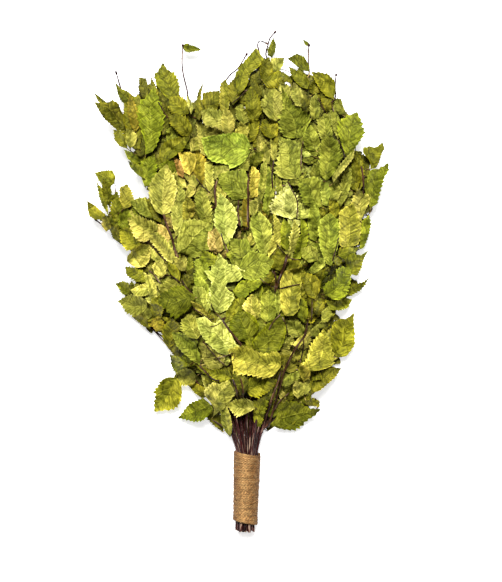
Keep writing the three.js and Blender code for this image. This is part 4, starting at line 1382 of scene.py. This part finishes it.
def make_twine():
    """The winding: one length of three-ply twine, its last turns a little loose, with fibres off it."""
    piece = Piece("jute_winding", "binding_twine", "twine")
    shares = np.linspace(0, 1, TWINE_TURNS * 120)
    turn = 2 * math.pi * TWINE_TURNS * shares
    y = WINDING_BOTTOM_Y + shares * (WINDING_TOP_Y - WINDING_BOTTOM_Y)
    axis = np.stack([handle_axis(value) for value in y])
    loose = np.clip(1 - shares * TWINE_TURNS / 3, 0, 1)
    radius = winding_radius(y) + 0.12 * np.sin(turn / 2.7) + 0.1 * np.sin(turn * 1.3) + 0.5 * loose
    wobble = 0.18 * np.sin(turn / 3.1) + 0.12 * np.sin(turn * 2.3)
    slant = 2.6 * loose + 2.2 * np.clip((shares * TWINE_TURNS - 23) / 6, 0, 1)
    sag = slant * np.cos(turn)
    line = axis + np.stack([radius * np.cos(turn), wobble - sag, radius * np.sin(turn)], axis=1) + SOURCE_ZERO
    line[:, 2] = np.maximum(line[:, 2], 1.6)
    add_strand(piece, line, line - axis - SOURCE_ZERO, 1.15, 2.2)
    add_tucked_end(piece)
    for _ in range(FIBRES):
        i = int(rng.integers(0, len(line) - 1))
        out = unit(line[i] - axis[i] - SOURCE_ZERO)
        along = unit(line[min(i + 1, len(line) - 1)] - line[i])
        stand = unit(along + out * rng.uniform(0.1, 0.9) + np.array([0, rng.uniform(-0.6, 0.6), 0]))
        start = line[i] + out * 0.9
        reach = rng.uniform(2, 6)
        droop = out * rng.uniform(-1.2, 0.6)
        fibre = smooth_line([start, start + stand * reach / 2, start + stand * reach + droop], 5)
        fibre[:, 2] = np.maximum(fibre[:, 2], 0.2)
        add_tube(piece, fibre, np.linspace(0.1, 0.05, 5), FIBRE_SIDES, linear(FIBRE_TONE), "jute_twine")
    return piece


def add_strand(piece, line, outwards, rise, spread):
    """Three plies in one strand, pressed flat on what it lies on, with a painted highlight along the top of
    the winding.
    """
    turn = np.linspace(0, 2 * math.pi, TWINE_SIDES, endpoint=False)
    run = travelled_along(line)
    crowns = np.cos(3 * (turn[None, :] - run[:, None] * 2 * math.pi / PLY_TWIST))
    plies = 1 + PLY_RELIEF * crowns
    across, up = tube_frames(line)
    outwards_turn = np.arctan2((outwards * up).sum(axis=1), (outwards * across).sum(axis=1))
    from_outwards = turn[None, :] - outwards_turn[:, None]
    pressed = 1 / np.hypot(np.cos(from_outwards) / rise, np.sin(from_outwards) / spread)
    thick = 1 + 0.05 * np.sin(run / 5.3) + 0.04 * np.sin(run / 2.1 + 1)
    aside = line[:, 0] - np.interp(line[:, 1], [BUTT_Y, WINDING_TOP_Y], [AXIS_X_AT_BUTT, AXIS_X_AT_TOP])
    # Painted highlight: a lighter band along the top of the winding, a little left of its middle.
    top_painted_highlight = np.exp(-(((aside + 1.5) / 6) ** 2)) * (line[:, 2] > winding_radius(line[:, 1]))
    tones = mix(linear(TWINE_TONE), linear(TWINE_HIGHLIGHT_TONE), top_painted_highlight)[:, None]
    # Painted light on the crowns of the plies, painted shade between them.
    tones = tones * (1 + PLY_PAINTED_LIGHT_AND_SHADE * crowns)[..., None]
    add_tube(piece, line, pressed * plies * thick[:, None], TWINE_SIDES, tones, "jute_twine")


def add_tucked_end(piece):
    """The twine's end, which comes out from under a turn low on the right and goes under the next."""
    start, end = (photo_place(*pixel, 0) for pixel in TUCKED_END)
    places = start + np.linspace(0, 1, 16)[:, None] * (end - start)
    for i, place in enumerate(places):
        axis = handle_axis(place[1]) + SOURCE_ZERO
        lift = winding_radius(place[1]) + 0.9 + 0.7 * math.sin(math.pi * i / 15)
        aside = np.clip((place[0] - axis[0]) / lift, -0.98, 0.98)
        places[i, 2] = axis[2] + lift * math.sqrt(1 - aside * aside)
        places[i, 0] = axis[0] + aside * lift
    add_strand(piece, even_line(places, 24), np.broadcast_to(UP, (24, 3)), 0.85, 0.85)


# Materials

def new_group(name, values, outputs):
    """An empty shader node group with named sockets: a place, values and outputs."""
    group = bpy.data.node_groups.new(name, "ShaderNodeTree")
    group.interface.new_socket("Place", in_out="INPUT", socket_type="NodeSocketVector")
    for label, value in values.items():
        socket = group.interface.new_socket(label, in_out="INPUT", socket_type="NodeSocketFloat")
        socket.default_value = value
    for label in outputs:
        group.interface.new_socket(label, in_out="OUTPUT", socket_type="NodeSocketFloat")
    return group, group.nodes.new("NodeGroupInput").outputs, group.nodes.new("NodeGroupOutput").inputs


def feed(tree, socket, value):
    """Links a node's input to another node's output, or sets it to a number or a colour."""
    if isinstance(value, bpy.types.NodeSocket):
        tree.links.new(value, socket)
    else:
        socket.default_value = (*value, 1) if isinstance(value, tuple) else value


def make_node(tree, kind, *values):
    """A node whose first inputs are fed with the values."""
    made = tree.nodes.new("ShaderNode" + kind)
    for socket, value in zip(made.inputs, values):
        feed(tree, socket, value)
    return made


def math_node(tree, operation, *values):
    made = make_node(tree, "Math", *values)
    made.operation = operation
    return made.outputs[0]


def scaled(tree, value, factor):
    return math_node(tree, "MULTIPLY", value, factor)


def range_node(tree, value, low, high, to_low=0.0, to_high=1.0):
    made = make_node(tree, "MapRange", value, low, high, to_low, to_high)
    made.interpolation_type = "SMOOTHSTEP"
    return made.outputs["Result"]


def mix_colour(tree, share, first, second, blend="MIX"):
    made = tree.nodes.new("ShaderNodeMix")
    made.data_type = "RGBA"
    made.blend_type = blend
    for i, value in ((0, share), (6, first), (7, second)):
        feed(tree, made.inputs[i], value)
    return made.outputs[2]


def tinted(tree, colour, tint):
    """A colour multiplied by a tint."""
    return mix_colour(tree, 1.0, colour, tint, "MULTIPLY")


def shaded(tree, colour, share, dark, light):
    """A colour multiplied by a tint between two, by a share that changes over the surface."""
    return tinted(tree, colour, mix_colour(tree, share, dark, light))


def attribute(tree, name, output):
    made = tree.nodes.new("ShaderNodeAttribute")
    made.attribute_name = name
    return made.outputs[output]


def parts_of(tree, vector):
    return make_node(tree, "SeparateXYZ", vector).outputs


def vector_of(tree, *parts):
    return make_node(tree, "CombineXYZ", *parts).outputs[0]


def stretched(tree, place, *factors):
    """A place drawn out along each of its directions."""
    made = make_node(tree, "VectorMath", place, vector_of(tree, *factors))
    made.operation = "MULTIPLY"
    return made.outputs[0]


def use_group(tree, group, **values):
    """A group placed in a material, with its own values. Returns what it puts out."""
    made = tree.nodes.new("ShaderNodeGroup")
    made.node_tree = group
    for label, value in values.items():
        feed(tree, made.inputs[label], value)
    return made.outputs


def noise_in(group, place, scale, detail):
    made = group.nodes.new("ShaderNodeTexNoise")
    made.inputs["Detail"].default_value = detail
    feed(group, made.inputs["Vector"], place)
    feed(group, made.inputs["Scale"], scale)
    return made


def dry_mottle_group():
    """Uneven drying: soft patches between two levels of a noise, and the noise itself as relief."""
    values = {"Scale": 3.0, "Low": 0.45, "High": 0.65}
    group, given, out = new_group("dry_mottle", values, ["Patches", "Relief"])
    noise = noise_in(group, given["Place"], given["Scale"], 4)
    noise.inputs["Roughness"].default_value = 0.6
    feed(group, out["Patches"], range_node(group, noise.outputs[0], given["Low"], given["High"]))
    feed(group, out["Relief"], noise.outputs[0])
    return group


def grain_streak_group():
    """Streaks along a stem or a strand, from its place across the grain and along it."""
    group, given, out = new_group("grain_streaks", {"Fineness": 1.0, "Stretch": 0.08}, ["Streaks"])
    place = stretched(group, given["Place"], 1, 1, given["Stretch"])
    noise = noise_in(group, place, given["Fineness"], 3)
    feed(group, out["Streaks"], range_node(group, noise.outputs[0], 0.35, 0.68))
    return group


def new_material(name, colour, roughness, specular):
    """A material with its Principled shader, and a bump node that feeds its normal."""
    material = bpy.data.materials.new(name)
    material.use_nodes = True
    tree = material.node_tree
    shader = tree.nodes["Principled BSDF"]
    shader.inputs["Base Color"].default_value = (*colour, 1)
    shader.inputs["Roughness"].default_value = roughness
    shader.inputs["Specular IOR Level"].default_value = specular
    bump = tree.nodes.new("ShaderNodeBump")
    feed(tree, shader.inputs["Normal"], bump.outputs[0])
    return material, tree, shader.inputs, bump.inputs


def emboss(tree, bump, height, strength, depth):
    feed(tree, bump["Height"], height)
    bump["Strength"].default_value = strength
    bump["Distance"].default_value = depth


def leaf_material(mottle):
    """Dried birch leaf: side veins, a margin that dries first and dark specks, with painted shade on one
    half, painted light and shade on the facets between creases and along wrinkles, painted highlights on
    creases and rim, and painted shadow in fold lines.
    """
    material, tree, shader, bump = new_material("birch_leaf", linear(TONES["olive"]), 0.6, 0.06)
    across, along, number = parts_of(tree, attribute(tree, "leaf_place", "Vector"))
    aside = math_node(tree, "ABSOLUTE", across)
    spot = attribute(tree, "leaf_spot", "Vector")
    shade = use_group(tree, mottle, Place=spot, Scale=0.09, Low=0.36, High=0.64)
    drying = use_group(tree, mottle, Place=spot, Scale=0.05, Low=0.5, High=0.72)
    speckle = use_group(tree, mottle, Place=spot, Scale=0.7, Low=0.6, High=0.72)
    wrinkle_shade_and_bump = use_group(tree, mottle, Place=wrinkle_place(tree, spot), Scale=0.42, Low=0.36, High=0.64)
    facet_painted_light = make_node(tree, "SeparateColor", crumples(tree, spot, "F1", 0.1)["Color"]).outputs[0]
    creases = crumples(tree, spot, "DISTANCE_TO_EDGE", 0.1)["Distance"]
    fold_shadow_lines = crumples(tree, spot, "DISTANCE_TO_EDGE", 0.055)["Distance"]
    # Painted shade: one half of each leaf, picked by its number, is a little darker than the other, as if the
    # halves leaned different ways.
    lean = math_node(tree, "SINE", scaled(tree, number, 7.0))
    half = math_node(tree, "MULTIPLY", math_node(tree, "SIGN", across), lean)
    # Side veins leave the midrib in pairs.
    lifted = math_node(tree, "SUBTRACT", scaled(tree, along, 7.0), aside)
    off_vein = math_node(tree, "PINGPONG", math_node(tree, "ADD", lifted, shade["Relief"]), 0.5)
    side_vein = range_node(tree, off_vein, 0.12, 0.02)
    midrib = range_node(tree, aside, 0.07, 0.015)
    vein = math_node(tree, "MAXIMUM", midrib, scaled(tree, side_vein, 0.7))
    # The margin dries first.
    tone = attribute(tree, "tone", "Color")
    uneven = scaled(tree, drying["Relief"], 1.1)
    margin = range_node(tree, math_node(tree, "ADD", aside, uneven), 1.0, 1.5)
    dry = math_node(tree, "MAXIMUM", margin, drying["Patches"])
    blade = mix_colour(tree, scaled(tree, dry, 0.6), tone, tinted(tree, tone, (1.46, 1.42, 1.3)))
    blade = shaded(tree, blade, shade["Patches"], (0.8, 0.81, 0.72), (1.12, 1.11, 1.1))
    # Painted shade on one half of the leaf.
    painted_half_shade = range_node(tree, half, -1.0, 1.0)
    blade = shaded(tree, blade, painted_half_shade, (0.76, 0.79, 0.68), (1.2, 1.17, 1.24))
    # Painted light and shade: each facet between the creases is lighter or darker, as if tilted its own way.
    blade = shaded(tree, blade, facet_painted_light, (0.7, 0.71, 0.64), (1.27, 1.25, 1.33))
    # Painted light and shade along the wrinkles by the side veins.
    blade = shaded(tree, blade, wrinkle_shade_and_bump["Patches"], (0.58, 0.59, 0.5), (1.36, 1.34, 1.42))
    blade = mix_colour(tree, scaled(tree, speckle["Patches"], 0.22), blade, (0.05, 0.03, 0.005))
    # Pale side veins and midrib, and painted highlights along the creases.
    painted_crease_highlight = range_node(tree, creases, 0.07, 0.0)
    lines = math_node(tree, "MAXIMUM", scaled(tree, vein, 0.75), scaled(tree, painted_crease_highlight, 0.4))
    blade = mix_colour(tree, lines, blade, tinted(tree, blade, (1.75, 1.7, 2.0)))
    # Painted shadow in thin fold lines.
    fold = range_node(tree, fold_shadow_lines, 0.045, 0.01, 0.0, 0.6)
    blade = mix_colour(tree, fold, blade, tinted(tree, blade, (0.3, 0.29, 0.22)))
    # Painted highlight along the rim.
    rim = range_node(tree, aside, 0.86, 0.98)
    blade = mix_colour(tree, rim, blade, tinted(tree, blade, (1.5, 1.46, 2.0)))
    feed(tree, shader["Base Color"], blade)
    feed(tree, shader["Roughness"], range_node(tree, drying["Relief"], 0.3, 0.7, 0.48, 0.68))
    relief = math_node(tree, "ADD", scaled(tree, creases, 2.4), scaled(tree, wrinkle_shade_and_bump["Relief"], 0.9))
    relief = math_node(tree, "ADD", relief, scaled(tree, vein, 0.5))
    emboss(tree, bump, relief, 0.9, 0.0012)
    return material


def wrinkle_place(tree, spot):
    """Places across and along the side veins of a leaf, drawn out along them."""
    across, along, number = parts_of(tree, spot)
    aside = math_node(tree, "ABSOLUTE", across)
    across_veins = math_node(tree, "SUBTRACT", along, aside)
    along_veins = math_node(tree, "ADD", along, aside)
    return vector_of(tree, across_veins, scaled(tree, along_veins, 0.22), number)


def crumples(tree, place, feature, scale):
    """The facets of a crumpled leaf."""
    made = tree.nodes.new("ShaderNodeTexVoronoi")
    made.feature = feature
    made.inputs["Scale"].default_value = scale
    feed(tree, made.inputs["Vector"], place)
    return made.outputs


def bark_material(mottle, streaks):
    """Birch bark on stems, twigs and stalks: lengthwise streaks, painted glints on the palest of them, and
    pale lenticels.
    """
    material, tree, shader, bump = new_material("birch_bark", linear(BARK_TONE), 0.5, 0.14)
    place = attribute(tree, "grain_place", "Vector")
    grain = use_group(tree, streaks, Place=place, Fineness=0.5, Stretch=0.07)["Streaks"]
    patches = use_group(tree, mottle, Place=place, Scale=0.12, Low=0.42, High=0.66)["Patches"]
    dots = crumples(tree, stretched(tree, place, 0.35, 0.35, 0.55), "F1", 1.0)["Distance"]
    lenticel = range_node(tree, dots, 0.2, 0.1)
    bark = shaded(tree, attribute(tree, "tone", "Color"), grain, (0.3, 0.26, 0.27), (2.3, 2.1, 1.9))
    # Painted glints: the palest streaks turn to a light brown sheen.
    painted_glint = range_node(tree, grain, 0.76, 1.0, 0.0, 0.6)
    bark = mix_colour(tree, painted_glint, bark, (0.36, 0.26, 0.18))
    bark = mix_colour(tree, scaled(tree, patches, 0.02), bark, (0.3, 0.25, 0.22))
    bark = mix_colour(tree, scaled(tree, lenticel, 0.3), bark, (0.42, 0.34, 0.27))
    feed(tree, shader["Base Color"], bark)
    feed(tree, shader["Roughness"], range_node(tree, grain, 0.0, 1.0, 0.4, 0.6))
    emboss(tree, bump, math_node(tree, "ADD", grain, scaled(tree, lenticel, 0.8)), 0.5, 0.0004)
    return material


def cut_wood_material(mottle):
    """The cut butts: pale wood, darker at the pith and under the bark."""
    material, tree, shader, bump = new_material("cut_wood", linear(CUT_WOOD_TONE), 0.8, 0.25)
    place = attribute(tree, "grain_place", "Vector")
    across, up, _ = parts_of(tree, place)
    length = make_node(tree, "VectorMath", vector_of(tree, across, up))
    length.operation = "LENGTH"
    from_pith = length.outputs["Value"]
    rings = math_node(tree, "PINGPONG", scaled(tree, from_pith, 2.2), 0.5)
    weather = use_group(tree, mottle, Place=place, Scale=0.8, Low=0.4, High=0.65)
    wood = mix_colour(tree, scaled(tree, rings, 0.5), (0.4, 0.26, 0.14), (0.25, 0.14, 0.08))
    wood = mix_colour(tree, scaled(tree, weather["Patches"], 0.4), wood, (0.16, 0.11, 0.08))
    pith = range_node(tree, from_pith, 0.5, 0.3)
    feed(tree, shader["Base Color"], mix_colour(tree, pith, wood, (0.1, 0.05, 0.03)))
    emboss(tree, bump, math_node(tree, "ADD", rings, weather["Relief"]), 0.4, 0.0003)
    return material


def twine_material(mottle, streaks):
    """Jute: fibres along the strand, flecks, and straw and brown lengths."""
    material, tree, shader, bump = new_material("jute_twine", linear(TWINE_TONE), 0.9, 0.2)
    shader["Sheen Weight"].default_value = 0.04
    place = attribute(tree, "grain_place", "Vector")
    fibres = use_group(tree, streaks, Place=place, Fineness=3.2, Stretch=0.12)["Streaks"]
    lengths = use_group(tree, mottle, Place=place, Scale=0.09, Low=0.4, High=0.62)["Patches"]
    flecks = use_group(tree, mottle, Place=place, Scale=0.42, Low=0.38, High=0.62)["Patches"]
    jute = shaded(tree, attribute(tree, "tone", "Color"), fibres, (0.74, 0.7, 0.62), (1.24, 1.22, 1.18))
    jute = shaded(tree, jute, flecks, (0.66, 0.62, 0.55), (1.42, 1.4, 1.36))
    jute = mix_colour(tree, scaled(tree, lengths, 0.22), jute, (0.5, 0.33, 0.13))
    feed(tree, shader["Base Color"], jute)
    emboss(tree, bump, fibres, 0.7, 0.0005)
    return material


def make_materials():
    mottle = dry_mottle_group()
    streaks = grain_streak_group()
    return {
        "birch_leaf": leaf_material(mottle),
        "birch_bark": bark_material(mottle, streaks),
        "cut_wood": cut_wood_material(mottle),
        "jute_twine": twine_material(mottle, streaks),
    }


# Table, light and camera

def make_table():
    mesh = bpy.data.meshes.new("white_table")
    corners = [(x * TABLE_HALF, y * TABLE_HALF, 0) for x, y in ((-1, -1), (1, -1), (1, 1), (-1, 1))]
    mesh.from_pydata(corners, [], [(0, 1, 2, 3)])
    material = bpy.data.materials.new("white_table")
    material.use_nodes = True
    shader = material.node_tree.nodes["Principled BSDF"]
    shader.inputs["Base Color"].default_value = (TABLE_WHITE, TABLE_WHITE, TABLE_WHITE, 1)
    shader.inputs["Roughness"].default_value = 0.9
    shader.inputs["Specular IOR Level"].default_value = 0.1
    shader.inputs["Emission Color"].default_value = (1, 1, 1, 1)
    shader.inputs["Emission Strength"].default_value = TABLE_GLOW
    mesh.materials.append(material)
    table = bpy.data.objects.new("white_table", mesh)
    bpy.context.scene.collection.objects.link(table)


def add_area_light(name, size, power):
    light = bpy.data.lights.new(name, "AREA")
    light.shape = "DISK"
    light.size = size
    light.energy = power
    made = bpy.data.objects.new(name, light)
    made.location = WINDOW_PLACE
    made.rotation_euler = (-made.location).to_track_quat("-Z", "Y").to_euler()
    bpy.context.scene.collection.objects.link(made)


def light_the_table():
    add_area_light("window", WINDOW_SIZE, WINDOW_POWER)
    add_area_light("lamp", LAMP_SIZE, LAMP_POWER)
    world = bpy.data.worlds.new("white_room")
    world.use_nodes = True
    world.node_tree.nodes["Background"].inputs["Color"].default_value = (1, 1, 1, 1)
    world.node_tree.nodes["Background"].inputs["Strength"].default_value = ROOM_GLOW
    bpy.context.scene.world = world
    bpy.context.scene.view_settings.view_transform = "Standard"


def make_camera():
    camera = bpy.data.cameras.new("overhead")
    camera.sensor_width = SENSOR
    camera.lens = SENSOR * CAMERA_RISE / (PHOTO_DOWN * PIXEL)
    made = bpy.data.objects.new("overhead", camera)
    made.location = (CAMERA_X * MM, CAMERA_Y * MM, (CAMERA_RISE + MIDDLE_HEIGHT) * MM)
    bpy.context.scene.collection.objects.link(made)
    bpy.context.scene.camera = made


# The whisk

leaf_mass = outline_mask(LEAF_MASS_EDGE)
grid = photo_place(GRID_ACROSS, GRID_DOWN, MIDDLE_HEIGHT)
leaf_bed = mound_height(grid[..., 0], grid[..., 1])
bed_covered = np.zeros(leaf_bed.shape, bool)

pieces = [make_twine()]
sprays = []
handle_top = handle_axis(WINDING_TOP_Y)
number = 0
for row, (_, tips) in enumerate(LAYERS):
    for column, (degrees, reach) in enumerate(tips):
        number += 1
        route = stem_route(row, column)
        pieces.append(make_stem(number, route))
        fork = route_share(route, FORK_SHARE) - 0.002
        sprays.append(Spray(f"leading_spray_{number:02d}", stretch_of(route, fork, 1, 120)))
        from_middle = column - (len(tips) - 1) / 2
        side = int(np.sign(from_middle)) or (1 if row == MIDDLE_ROW else -1)
        share = SIDE_SHARES[(number - 1) % len(SIDE_SHARES)]
        angle = degrees + side * SIDE_TIP_SPREAD
        tip = fan_place(handle_top, angle, reach * SIDE_TIP_SHARE, layer_height(row, angle))
        sprays.append(Spray(f"side_spray_{number:02d}", side_twig(route, share, side, tip)))
for low, (column, side) in enumerate([(0, -1), (len(LAYERS[MIDDLE_ROW][1]) - 1, 1)]):
    degrees, reach = LOW_TIPS[low]
    tip = fan_place(handle_top, degrees, reach, layer_height(MIDDLE_ROW, FAN_EDGE))
    twig = side_twig(stem_route(MIDDLE_ROW, column), LOW_SHARE, side, tip)
    sprays.append(Spray(f"low_spray_{low + 1:02d}", twig))
twig_points = np.concatenate([spray.line for spray in sprays])
twig_owners = np.repeat(np.arange(len(sprays)), [len(spray.line) for spray in sprays])

for spray in sprays:
    grow_twig(spray)
    grow_hidden_leaves(spray)
lay_lower_leaves()
fill_bare_spots()
for outline in UNDER_STEM_LEAVES:
    lay_dark_leaf(*traced_leaf(outline), 0)
lay_folded_leaves()
for tone, outline in SHOWN_LEAVES:
    middle = np.mean(outline, axis=0)
    # Painted shade, darker towards the tips.
    shade = np.interp(middle[1], SHADE_DOWN, SHOWN_PAINTED_SHADE)
    whole = middle + (outline - middle) * LEAF_OVERLAP
    lay_leaf(np.array(TONES[tone]) * shade, *traced_leaf(whole), SHOWN_LEAF_TILT, SHOWN_LEAF_LIFT)
lay_lowest_leaves()
for pixels in TIP_TWIGS:
    lay_tip_twig(pixels)
for radius, pixels in CROSSING_TWIGS:
    lay_crossing_twig(radius, pixels)

materials = make_materials()
for piece in [*pieces, *(spray.piece for spray in sprays)]:
    piece.to_object(materials)
make_table()
light_the_table()
make_camera()
